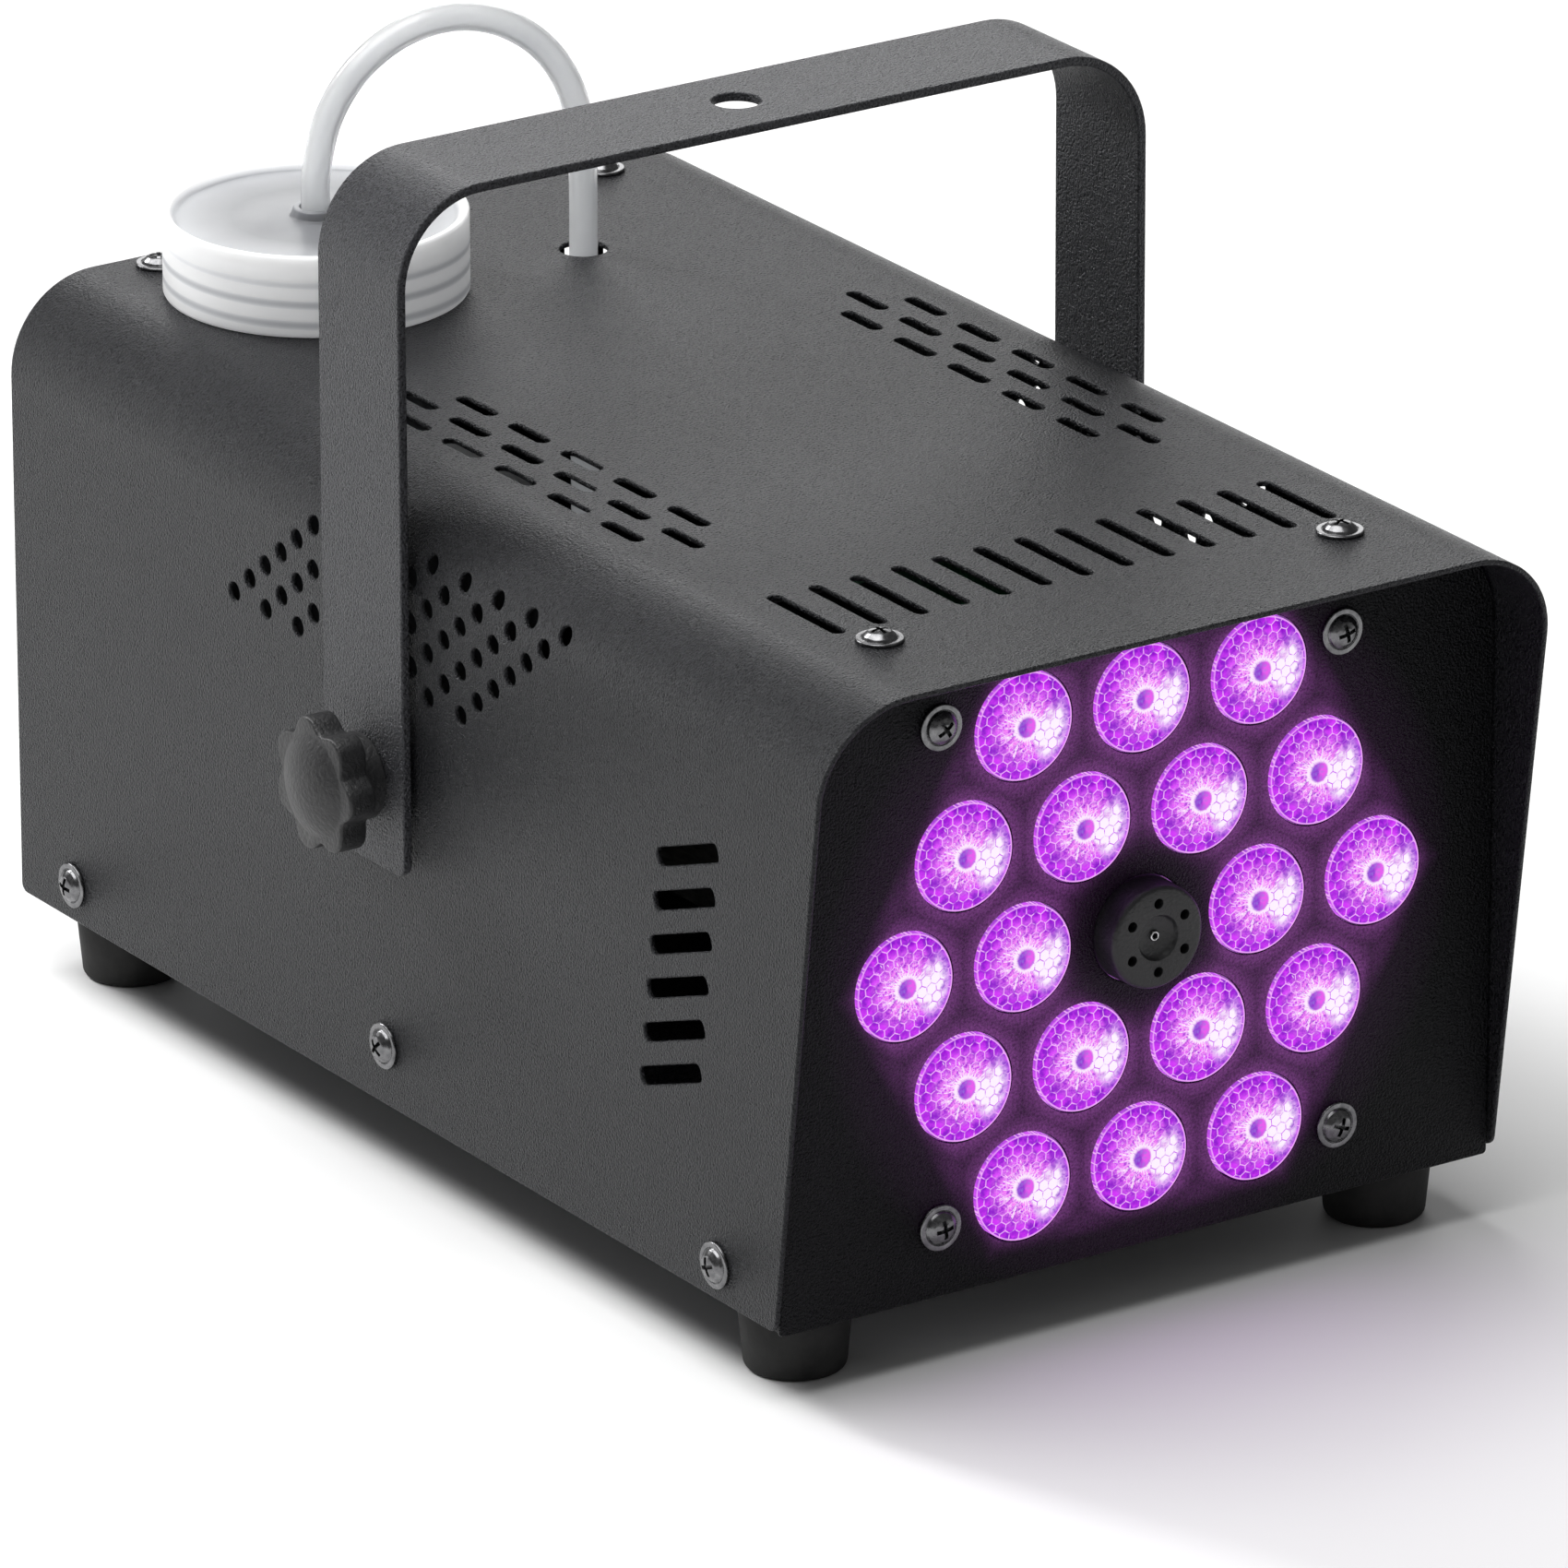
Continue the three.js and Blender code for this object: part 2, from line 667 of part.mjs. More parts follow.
// ---------- fasteners ----------
function washerScrew() {
  const flange = screwHeadDiameter / 2;
  const dome = flange * 0.6;
  const shank = screwShankDiameter / 2;
  return turned([
    [0, -screwShankLength], [shank, -screwShankLength], [shank, 0], [flange, 0], [flange, 0.6],
    [dome, screwHeadHeight], [0, screwHeadHeight],
  ], 8);
}

function screws() {
  const screw = washerScrew();
  panelScrewPlaces().forEach(([x, z], i) => {
    place(`panel_screw_${i + 1}`, screw, steelDark, [x, panelSetback - gap, z], facingFront);
  });
  const rows = [frontTopScrewY, coverLength - rearTopScrewInset];
  const places = rows.flatMap((y) => [[-topScrewX, y], [topScrewX, y]]);
  places.forEach(([x, y], i) => {
    place(`cover_screw_${i + 1}`, screw, steelDark, [x, y, coverTop + gap], facingUp);
  });
}

// ---------- lenses, LED board and nozzle ----------
function lenses() {
  const face = lensDiameter / 2;
  const flange = face + lensFlange;
  const tail = lensTail / 2;
  const flangeStart = lensProud + panelSetback + panelSheet + gap;
  const depth = (y) => lensDepth - y;
  const lens = turned([
    [0, 0], [tail, 0], [flange, depth(flangeStart + 1.6)], [flange, depth(flangeStart)],
    [face, depth(flangeStart)], [face, depth(0.8)], [0, lensDepth],
  ], 12);
  lensCentres().forEach(([x, z], i) => {
    const number = String(i + 1).padStart(2, '0');
    place(`lens_${number}`, lens, lensViolet, [x, lensDepth - lensProud, z], facingFront);
  });
}

function ledBoard() {
  const y0 = ledBoardFace;
  const y1 = y0 + boardSheet;
  const [hw, hh] = [ledBoardWidth / 2, ledBoardHeight / 2];
  const outline = roundedRectangle(-hw, hw, nozzleHeight - hh, nozzleHeight + hh, boardCorner);
  const postStart = frontPanelBack + gap;
  const posts = panelScrewPlaces().map(([x, z]) => roundY(x, z, postDiameter, postStart, y0 + 0.5, 10));
  const bore = screwShankDiameter + 2 * boreClearance;
  const tools = panelScrewPlaces().map(([x, z]) => roundY(x, z, bore, 0, y1 + 1, 8));
  tools.push(roundY(0, nozzleHeight, pipeDiameter + pipeHoleExcess, y0 - 1, y1 + 1));
  place('led_board', cut(join([alongY(outline, y0, y1, 2), ...posts]), tools), boardWhite);
}

function nozzle() {
  const outer = nozzleDiameter / 2;
  const recess = nozzleRecessDiameter / 2;
  const bore = nozzleBore / 2;
  const flange = outer + nozzleFlange;
  const front = nozzleBack + nozzleProud;
  const floor = front - nozzleRecessDepth;
  const body = turned([
    [bore, 0], [flange, 0], [flange, nozzleFlangeDepth], [outer, nozzleFlangeDepth], [outer, front - 1],
    [outer - 1, front], [recess, front], [recess * 0.72, floor], [bore, floor], [bore, 0],
  ], 16);
  const tools = [];
  for (let i = 0; i < nozzleHoleCount; i += 1) {
    const angle = (i / nozzleHoleCount) * 2 * Math.PI + Math.PI / 2;
    const x = nozzleHoleCircle * Math.cos(angle);
    const y = nozzleHoleCircle * Math.sin(angle);
    tools.push(roundY(x, y, nozzleHoleDiameter, front - nozzleHoleDepth, front + 1, 6));
  }
  place('nozzle', cut(body, tools), mouldedBlack, [0, nozzleBack, nozzleHeight], facingFront);
  const pipe = ring(pipeDiameter, nozzleBore, 0, pipeLength, 12);
  place('outlet_pipe', pipe, brass, [0, nozzleBack + gap + pipeLength, nozzleHeight], facingFront);
}

// ---------- heater and pump ----------
function heater() {
  const hw = heaterWidth / 2;
  const z0 = nozzleHeight - heaterHeight / 2;
  const z1 = nozzleHeight + heaterHeight / 2;
  const leg = heaterLegWidth;
  const pieces = [block(-hw, hw, heaterFront, heaterBack, z0, z1)];
  for (const x of [-hw, hw - leg]) {
    for (const y of [heaterFront, heaterBack - leg]) {
      pieces.push(block(x, x + leg, y, y + leg, trayTop + gap, z0 + 1));
    }
  }
  place('heater_block', join(pieces), aluminium);
  const [y0, y1] = [heaterFront + jacketStart, heaterFront + jacketStart + jacketLength];
  const inner = gap + 0.2;
  const wall = inner + jacketWall;
  const sleeve = cut(block(-hw - wall, hw + wall, y0, y1, z0 - wall, z1 + wall), [
    block(-hw - inner, hw + inner, y0 - 1, y1 + 1, z0 - inner, z1 + inner),
  ]);
  place('heater_jacket', sleeve, felt);
  const radius = thermostatDiameter / 2;
  const can = turned([
    [0, 0], [radius, 0], [radius, 2], [radius * 0.8, 2.4], [radius * 0.8, thermostatHeight],
    [0, thermostatHeight],
  ], 14);
  const y = (y1 + heaterBack) / 2;
  place('thermostat', can, steelBright, [0, y, z1 + gap], facingUp);
}

function pump() {
  const half = pumpWidth / 2;
  const top = pumpHeight;
  const ceiling = top - pumpLid;
  const nippleTop = top + nippleHeight;
  const ledge = half - pumpShoulder;
  const solid = join([
    block(-half, half, -half, half, 0, top),
    roundZ(0, 0, nippleDiameter, top - 1, nippleTop, 10),
  ]);
  const body = cut(solid, [
    roundZ(0, 0, pumpBore, -1, ceiling, 12),
    roundZ(0, 0, nippleBore, ceiling - 1, nippleTop + 1, 8),
    block(-half - 1, -ledge, -half - 1, half + 1, top - pumpShoulderDrop, top + 1),
    block(ledge, half + 1, -half - 1, half + 1, top - pumpShoulderDrop, top + 1),
  ]);
  place('pump_body', body, mouldedBlack, [pumpX, pumpY, pumpZ]);
  const piston = rod(pistonDiameter, 0, pistonLength, 12);
  place('pump_piston', piston, steelBright, [pumpX, pumpY, pumpZ + pistonRest], facingUp);
}

function pumpCradle() {
  const half = pumpWidth / 2;
  const plateFoot = trayTop + gap;
  const plateTop = plateFoot + cradlePlate;
  const pieces = [block(-half, half, -half, half, plateFoot, plateTop)];
  for (const side of [-1, 1]) {
    const x = side * (half - pumpShoulder);
    pieces.push(roundZ(x, 0, cradlePostDiameter, plateTop - 0.5, pumpZ - gap, 10));
  }
  place('pump_cradle', join(pieces), rubber, [pumpX, pumpY, 0]);
}

function supplyPipe() {
  const start = new THREE.Vector3(supplyX, heaterBack + gap, supplyTopZ);
  const end = new THREE.Vector3(pumpX, pumpY - pumpWidth / 2 - gap, supplyZ);
  const route = new THREE.CubicBezierCurve3(
    start,
    start.clone().add(new THREE.Vector3(0, supplyBend, 0)),
    end.clone().add(new THREE.Vector3(0, -supplyBend, 0)),
    end,
  );
  place('supply_pipe', tubeAlong(route, supplyDiameter, 8, 8), copper);
}

function tubeAlong(route, diameter, steps, sides) {
  const section = new THREE.Shape();
  for (let i = 0; i < sides; i += 1) {
    const angle = (i / sides) * 2 * Math.PI;
    const corner = [Math.cos(angle) * diameter / 2, Math.sin(angle) * diameter / 2];
    if (i === 0) section.moveTo(...corner);
    else section.lineTo(...corner);
  }
  return closed(new THREE.ExtrudeGeometry(section, { steps, extrudePath: route, bevelEnabled: false }));
}

// ---------- tank, cap and hose ----------
function tank() {
  const [hw, hl] = [tankWidth / 2, tankLength / 2];
  const foot = trayTop + gap;
  const shoulder = foot + tankHeight;
  const neck = neckDiameter - 2 * neckWall;
  const [iw, il] = [hw - tankWall, hl - tankWall];
  const inside = roundedRectangle(-iw, iw, -il, il, tankCorner - tankWall);
  const outer = join([
    alongZ(roundedRectangle(-hw, hw, -hl, hl, tankCorner), foot, shoulder, 3),
    roundZ(0, 0, neckDiameter - 4, shoulder - 1, neckTop, 20),
  ]);
  const body = cut(outer, [
    alongZ(inside, foot + tankWall, shoulder - tankWall, 3),
    roundZ(0, 0, neck - 4, shoulder - 2 * tankWall, neckTop + 1, 20),
  ]);
  place('tank', body, clearPlastic, [tankX, tankY, 0]);
}

function tankCap() {
  const outer = capDiameter / 2;
  const inner = outer - capWall;
  const hole = hoseDiameter / 2 + 0.4;
  const plateTop = capHeight - capRecess;
  const cap = turned([
    [inner, 0], [outer - 1.2, 0], [outer, 1.6], [outer, capHeight], [inner - 1, capHeight],
    [inner - 1.6, plateTop], [hole + 2, plateTop], [hole + 1.4, capHeight], [hole, capHeight],
    [hole, plateTop - capTop], [inner, plateTop - capTop], [inner, 0],
  ], 20);
  place('tank_cap', cap, clearPlastic, [tankX, tankY, capFoot], facingUp);
}

// the hose stands in the tank, goes up through the cap, over in an arch and down to the pump
function hose() {
  const weightFoot = trayTop + gap + tankWall + gap;
  const weight = ring(weightDiameter, 3, 0, weightHeight, 12);
  place('tube_weight', weight, steelBright, [tankX, tankY, weightFoot], facingUp);
  const points = hoseRoute.map(([x, y, z]) => new THREE.Vector3(x, y, z));
  const route = new THREE.CatmullRomCurve3(points, false, 'centripetal');
  place('feed_tube', tubeAlong(route, hoseDiameter, 30, 8), clearPlastic);
}

const hoseRoute = [
  [-35.6, 247.8, 39.2], [-35.6, 247.8, 60], [-35.6, 247.8, 85], [-35.6, 247.8, 110],
  [-35.6, 247.8, 135], [-35.6, 247.8, 155], [-35.6, 247.8, 168], [-35.2, 247.8, 177],
  [-32.2, 247.5, 188], [-25.8, 246.7, 197], [-16.4, 245.4, 203.2], [-5.4, 243.8, 205.4],
  [5.4, 242, 203.2], [14.6, 240.3, 197], [20.7, 239.2, 188], [23.6, 238.7, 177],
  [24, 238.6, 166], [24, 238.6, 150], [24, 238.6, 130], [24, 238.6, 108], [24, 238.6, 86.3],
];

// ---------- bracket and knobs ----------
function bracket() {
  const strip = alongY(
    bentStrip(bracketHalfWidth, bracketRise, -bracketDrop, bracketBend, bracketSheet),
    -bracketWidth / 2, bracketWidth / 2, 6);
  const reach = bracketHalfWidth + 1;
  const body = cut(strip, [
    roundZ(0, 0, bracketHoleDiameter, bracketRise - 2 * bracketSheet, bracketRise + 1, 16),
    roundX(0, 0, studDiameter + 2 * boreClearance, -reach, reach),
  ]);
  place('bracket', body, powderBlack, [0, bracketPivotY, bracketPivotZ]);
}

function knobOutline() {
  const count = knobLobes * 5;
  const points = [];
  for (let i = 0; i < count; i += 1) {
    const angle = (i / count) * 2 * Math.PI;
    const radius = knobRadius + knobLobe * Math.cos(knobLobes * angle);
    points.push([radius * Math.cos(angle), radius * Math.sin(angle)]);
  }
  return polygon(points);
}

function knobs() {
  const starTop = knobHubHeight + knobThickness;
  const studReach = bracketSheet + bracketSideGap + coverSheet + knobStudExcess;
  const pad = knobDomeDiameter / 2;
  const padTop = starTop + knobDomeHeight;
  const knob = join([
    rod(studDiameter, -studReach, 1, 8),
    rod(knobHubDiameter, 0, knobHubHeight + 1, 12),
    alongY(knobOutline(), knobHubHeight, starTop),
    turned([
      [0, starTop - 1], [pad, starTop - 1], [pad, starTop], [pad * 0.8, starTop + knobDomeHeight * 0.5],
      [pad * 0.45, starTop + knobDomeHeight * 0.9], [0, padTop],
    ], 12),
  ]);
  const spacer = ring(spacerDiameter, studDiameter + 2 * boreClearance, gap, bracketSideGap - gap, 12);
  const x = bracketHalfWidth + gap;
  place('right_knob', knob, mouldedBlack, [x, bracketPivotY, bracketPivotZ], facingRight);
  place('left_knob', knob, mouldedBlack, [-x, bracketPivotY, bracketPivotZ], facingLeft);
  place('right_spacer', spacer, mouldedBlack, [halfWidth, bracketPivotY, bracketPivotZ], facingRight);
  place('left_spacer', spacer, mouldedBlack, [-halfWidth, bracketPivotY, bracketPivotZ], facingLeft);
}

// ---------- rear fittings ----------
function framedBody(flangeWidth, flangeHeight, bodyWidth, bodyHeight, depth) {
  const [fw, fh] = [flangeWidth / 2, flangeHeight / 2];
  const [bw, bh] = [bodyWidth / 2, bodyHeight / 2];
  return join([
    alongY(roundedRectangle(-fw, fw, -fh, fh, 2), gap, gap + flangeProud, 2),
    block(-bw, bw, -depth, gap + 1, -bh, bh),
  ]);
}

function inlet() {
  const [bw, bh] = [inletBodyWidth / 2 - inletWall, inletBodyHeight / 2 - inletWall];
  const cavity = block(-bw, bw, -inletDepth + 2, gap + flangeProud + 1, -bh, bh);
  const shell = framedBody(
    inletFlangeWidth, inletFlangeHeight, inletBodyWidth, inletBodyHeight, inletDepth);
  const [pw, ph] = [inletPinWidth / 2, inletPinHeight / 2];
  const pins = inletPins.map(([x, z]) => block(x - pw, x + pw, 1 - inletDepth, -3, z - ph, z + ph));
  const ears = [-1, 1].map((side) => roundY(side * inletEarX, 0, inletEarDiameter, -1, 4, 8));
  const body = join([cut(shell, [cavity, ...ears]), ...pins]);
  place('mains_inlet', body, mouldedBlack, [inletX, rearPanelFace, inletZ]);
}

function powerSwitch() {
  const [bw, bh] = [switchBodyWidth / 2 - switchWall, switchBodyHeight / 2 - switchWall];
  const shell = framedBody(
    switchFlangeWidth, switchFlangeHeight, switchBodyWidth, switchBodyHeight, switchDepth);
  const cavity = block(-bw, bw, -switchDepth + 3, gap + flangeProud + 1, -bh, bh);
  place('switch_body', cut(shell, [cavity]), mouldedBlack, [switchX, rearPanelFace, inletZ]);
  const half = bh - 1.1;
  const face = gap + flangeProud + rockerProud - rockerPivotY;
  const profile = polygon([
    [-rockerDepth, -2.5], [-1, -half], [face - 0.9, -half], [face - 1.9, 0], [face - 0.9, half],
    [-1, half], [-rockerDepth, 2.5],
  ]);
  const rocker = alongX(profile, 0.5 - bw, bw - 0.5);
  const tilt = THREE.MathUtils.degToRad(rockerTilt);
  const pin = [switchX, rearPanelFace + rockerPivotY, inletZ];
  place('power_rocker', rocker, mouldedBlack, pin, [tilt, 0, 0]);
}

function fuse() {
  const top = gap + flangeProud;
  const bore = fuseCapDiameter + 0.8;
  const holder = cut(join([
    rod(fuseDiameter, gap, top, 18),
    rod(fuseBodyDiameter, -fuseDepth, gap + 1, 14),
  ]), [rod(bore - 2.4, 3 - fuseDepth, gap + 0.9, 12), rod(bore, gap + 0.8, top + 1, 16)]);
  place('fuse_holder', holder, mouldedBlack, [switchX, rearPanelFace, fuseZ]);
  const face = top + fuseCapProud;
  const half = fuseSlotWidth / 2;
  const slotCut = block(-4, 4, face - fuseSlotDepth, face + 1, -half, half);
  const cap = cut(join([
    rod(fuseCapDiameter, gap + 1.1, top + fuseCapProud, 16),
    rod(bore - 3.2, 6 - fuseDepth, gap + 1.6, 12),
  ]), [slotCut]);
  place('fuse_cap', cap, mouldedBlack, [switchX, rearPanelFace, fuseZ]);
}

function remoteSocket() {
  const half = socketFlange / 2;
  const top = gap + flangeProud;
  const shell = join([
    alongY(roundedRectangle(-half, half, -half, half, 3), gap, top, 2),
    rod(socketBodyDiameter, -socketDepth, gap + 1, 14),
  ]);
  const hollow = cut(shell, [rod(socketBore, 3 - socketDepth, top + 1, 12)]);
  const pins = [];
  for (let i = 0; i < socketPinCount; i += 1) {
    const angle = Math.PI * (1 + i / (socketPinCount - 1));
    const [x, z] = [socketPinCircle * Math.cos(angle), socketPinCircle * Math.sin(angle)];
    pins.push(roundY(x, z, socketPinDiameter, 2 - socketDepth, -4, 6));
  }
  place('remote_socket', join([hollow, ...pins]), mouldedBlack, [inletX, rearPanelFace, socketZ]);
}

// ---------- control board ----------
function controlBoard() {
  const half = controlBoardLength / 2;
  const top = controlBoardZ + controlBoardHeight;
  const pieces = [block(0, boardSheet, -half, half, controlBoardZ, top)];
  for (const [y, z, length, height, rise] of boardParts) {
    pieces.push(block(-rise, 0.5, y - length / 2, y + length / 2, z, z + height));
  }
  const foot = trayTop + gap;
  const legTop = controlBoardZ + 1;
  for (const y of [boardLegWidth - half, half - 2 * boardLegWidth]) {
    const end = y + boardLegWidth;
    pieces.push(block(0, boardSheet, y, end, foot, legTop));
    pieces.push(block(-boardLegReach, boardSheet, y, end, foot, foot + cradlePlate));
  }
  place('control_board', join(pieces), boardGreen, [controlBoardX, controlBoardY, 0]);
}

cover();
frontPanel();
rearPanel();
baseTray();
feet();
screws();
lenses();
ledBoard();
nozzle();
heater();
pump();
pumpCradle();
supplyPipe();
tank();
tankCap();
hose();
bracket();
knobs();
inlet();
powerSwitch();
fuse();
remoteSocket();
controlBoard();

export default machine;
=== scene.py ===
"""Fog machine: the looks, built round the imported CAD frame. Metres, +Z up, the front towards -Y."""
import json
import math

import bmesh
import bpy
import numpy as np
from mathutils import Matrix, Vector
from mathutils.geometry import delaunay_2d_cdt


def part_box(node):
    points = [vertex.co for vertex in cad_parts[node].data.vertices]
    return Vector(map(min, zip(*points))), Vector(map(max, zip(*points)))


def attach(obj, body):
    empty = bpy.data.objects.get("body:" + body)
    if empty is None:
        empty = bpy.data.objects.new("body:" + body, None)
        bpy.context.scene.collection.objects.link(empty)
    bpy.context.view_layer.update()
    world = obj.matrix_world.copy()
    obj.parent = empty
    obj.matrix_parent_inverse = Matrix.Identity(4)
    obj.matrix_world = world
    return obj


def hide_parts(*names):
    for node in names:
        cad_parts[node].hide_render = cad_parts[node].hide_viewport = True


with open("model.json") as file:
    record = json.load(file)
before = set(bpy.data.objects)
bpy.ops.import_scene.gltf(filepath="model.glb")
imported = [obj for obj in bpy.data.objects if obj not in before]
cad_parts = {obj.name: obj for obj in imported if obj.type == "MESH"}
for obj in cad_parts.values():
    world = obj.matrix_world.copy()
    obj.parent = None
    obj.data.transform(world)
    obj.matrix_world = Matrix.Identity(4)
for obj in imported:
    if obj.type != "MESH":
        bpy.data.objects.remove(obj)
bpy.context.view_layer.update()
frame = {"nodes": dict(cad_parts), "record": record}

MM = 0.001
TAU = 2 * math.pi
scene = bpy.context.scene

# ---------- the places that the frame gives ----------
cover_low, cover_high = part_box("cover")
panel_low, panel_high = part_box("front_panel")
rear_low, rear_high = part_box("rear_panel")
tray_low, tray_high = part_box("base_tray")
tank_low, tank_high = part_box("tank")
joints = {j["name"]: j for j in frame["record"]["behaviour"]["joints"]}
pivot = Vector(joints["bracket_tilt"]["pos_m"])
cap_low, cap_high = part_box("tank_cap")
cap_radius = (cap_high.x - cap_low.x) / 2
cap_height = cap_high.z - cap_low.z


def middle(node):
    low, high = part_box(node)
    return (low + high) / 2


def standing(node, z=0.0):
    """The point on a node's upright middle line at a height."""
    low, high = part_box(node)
    return Vector(((low.x + high.x) / 2, (low.y + high.y) / 2, z))


# ---------- camera ----------
view_azimuth = math.radians(-33.51)
view_elevation = math.radians(21.03)
view_roll = math.radians(-0.14)
view_distance = 3.0
view_aim = Vector((-0.0541, -0.0907, 0.1100))
lens_mm = 350.7

camera = bpy.data.objects.new("camera", bpy.data.cameras.new("camera"))
scene.collection.objects.link(camera)
camera.data.lens = lens_mm
camera.data.sensor_width = 36
camera.data.clip_end = 50
back = Vector((
    math.sin(view_azimuth) * math.cos(view_elevation),
    -math.cos(view_azimuth) * math.cos(view_elevation),
    math.sin(view_elevation),
))
camera.location = view_aim + back * view_distance
camera.rotation_mode = "QUATERNION"
camera.rotation_quaternion = (
    (-back).to_track_quat("-Z", "Y") @ Matrix.Rotation(view_roll, 4, "Z").to_quaternion())
scene.camera = camera
scene.view_settings.view_transform = "Standard"


# ---------- materials ----------
class Nodes:
    """A material's node tree, built a node at a time."""

    def __init__(self, material):
        """Makes a material of the name given, or goes on with one that is there already."""
        if isinstance(material, str):
            material = bpy.data.materials.new(material)
            material.use_nodes = True
        self.material, self.tree = material, material.node_tree
        self.shader = self.tree.nodes["Principled BSDF"]
        self.coordinates = self.tree.nodes.new("ShaderNodeTexCoord").outputs["Object"]

    def set(self, **values):
        for name, value in values.items():
            self.shader.inputs[name.replace("_", " ").title().replace("Ior", "IOR")].default_value = value
        return self

    def put(self, value, socket):
        self.link(value, self.shader.inputs[socket])

    def link(self, value, socket):
        if isinstance(value, bpy.types.NodeSocket):
            self.tree.links.new(value, socket)
        else:
            socket.default_value = value

    def noise(self, scale, detail=2.0, rough=0.5, stretch=None, at=None):
        node = self.tree.nodes.new("ShaderNodeTexNoise")
        node.inputs["Scale"].default_value = scale
        node.inputs["Detail"].default_value = detail
        node.inputs["Roughness"].default_value = rough
        self.link(self.scaled(stretch) if stretch else at or self.coordinates, node.inputs["Vector"])
        return node.outputs["Fac"]

    def cells(self, scale, feature="F1"):
        node = self.tree.nodes.new("ShaderNodeTexVoronoi")
        node.feature = feature
        node.inputs["Scale"].default_value = scale
        self.link(self.coordinates, node.inputs["Vector"])
        return node.outputs["Distance"]

    def scaled(self, factors):
        node = self.tree.nodes.new("ShaderNodeMapping")
        node.inputs["Scale"].default_value = factors
        self.link(self.coordinates, node.inputs["Vector"])
        return node.outputs["Vector"]

    def math(self, kind, *values, clamp=False):
        node = self.tree.nodes.new("ShaderNodeMath")
        node.operation = kind
        node.use_clamp = clamp
        for socket, value in zip(node.inputs, values):
            self.link(value, socket)
        return node.outputs[0]

    def plus(self, a, b):
        return self.math("ADD", a, b)

    def minus(self, a, b):
        return self.math("SUBTRACT", a, b)

    def times(self, a, b, clamp=False):
        return self.math("MULTIPLY", a, b, clamp=clamp)

    def over(self, a, b, clamp=False):
        return self.math("DIVIDE", a, b, clamp=clamp)

    def spread(self, value, low, high, start=0.0, end=1.0):
        node = self.tree.nodes.new("ShaderNodeMapRange")
        self.link(value, node.inputs["Value"])
        for name, number in (("From Min", start), ("From Max", end), ("To Min", low), ("To Max", high)):
            node.inputs[name].default_value = number
        return node.outputs["Result"]

    def ramp(self, value, stops):
        node = self.tree.nodes.new("ShaderNodeValToRGB")
        elements = node.color_ramp.elements
        while len(elements) < len(stops):
            elements.new(0.5)
        for element, (place, colour) in zip(elements, stops):
            element.position = place
            element.color = (*colour, 1)
        self.link(value, node.inputs["Fac"])
        return node.outputs["Color"]

    def mix(self, factor, a, b):
        node = self.tree.nodes.new("ShaderNodeMix")
        node.data_type = "RGBA"
        self.link(factor, node.inputs[0])
        self.link(a if isinstance(a, bpy.types.NodeSocket) else (*a, 1), node.inputs[6])
        self.link(b if isinstance(b, bpy.types.NodeSocket) else (*b, 1), node.inputs[7])
        return node.outputs[2]

    def wrap(self, value, half):
        return self.math("WRAP", value, half, -half)

    def length(self, x, y):
        return self.math("SQRT", self.plus(self.times(x, x), self.times(y, y)))

    def triangular(self, x, y, pitch):
        """Where a point lies from the nearest point of a triangular lattice, in pitches."""
        tall = math.sqrt(3) / 2
        x, y = self.over(x, pitch), self.over(y, pitch)
        even = self.wrap(x, 0.5), self.wrap(y, tall)
        odd = self.wrap(self.minus(x, 0.5), 0.5), self.wrap(self.minus(y, tall), tall)
        nearer = self.math("LESS_THAN", self.length(*odd), self.length(*even))
        return [
            self.plus(a, self.times(nearer, self.minus(b, a)))
            for a, b in zip(even, odd)
        ]

    def combine(self, x, y, z):
        node = self.tree.nodes.new("ShaderNodeCombineXYZ")
        for socket, number in zip(node.inputs, (x, y, z)):
            self.link(number, socket)
        return node.outputs[0]

    def axis(self, index):
        node = self.tree.nodes.new("ShaderNodeSeparateXYZ")
        self.link(self.coordinates, node.inputs[0])
        return node.outputs[index]

    def bump(self, height, distance, strength=1.0):
        node = self.tree.nodes.new("ShaderNodeBump")
        node.inputs["Distance"].default_value = distance
        node.inputs["Strength"].default_value = strength
        self.link(height, node.inputs["Height"])
        self.put(node.outputs["Normal"], "Normal")


def powder_coat(name, depth, dark, light, shine):
    """Satin black textured powder coat with a fine close grain."""
    m = Nodes(name).set(specular_ior_level=shine, specular_tint=(0.92, 0.945, 1.0, 1))
    grain = m.noise(1900, 2, 0.55)
    patches = m.noise(14, 3, 0.5)
    stops = [(0.35, (dark, dark, 1.1 * dark)), (0.65, (light, light, 1.12 * light))]
    m.put(m.ramp(grain, stops), "Base Color")
    m.put(m.plus(m.spread(grain, 0.24, 0.36, 0.3, 0.7), m.spread(patches, -0.03, 0.03)), "Roughness")
    m.bump(grain, 0.0008, depth)
    return m.material


def moulded_black(name, scale, deep):
    """Moulded black nylon with a spark-eroded texture."""
    m = Nodes(name).set(specular_ior_level=0.45)
    grain = m.noise(scale, 3, 0.6)
    m.put(m.ramp(grain, [(0.25, (0.010, 0.010, 0.011)), (0.8, (0.024, 0.024, 0.025))]), "Base Color")
    m.put(m.spread(m.noise(60, 3), 0.38, 0.52, 0.3, 0.7), "Roughness")
    m.bump(grain, deep, 0.7)
    return m.material


def rubber_black():
    """Matt black rubber with a dusty bloom."""
    m = Nodes("rubber_black").set(specular_ior_level=0.3)
    stops = [(0.3, (0.010, 0.010, 0.010)), (0.8, (0.030, 0.030, 0.029))]
    m.put(m.ramp(m.noise(180, 4, 0.6), stops), "Base Color")
    m.put(m.spread(m.noise(90, 3), 0.62, 0.85, 0.3, 0.7), "Roughness")
    m.bump(m.noise(1200, 2), 0.0001, 0.6)
    return m.material


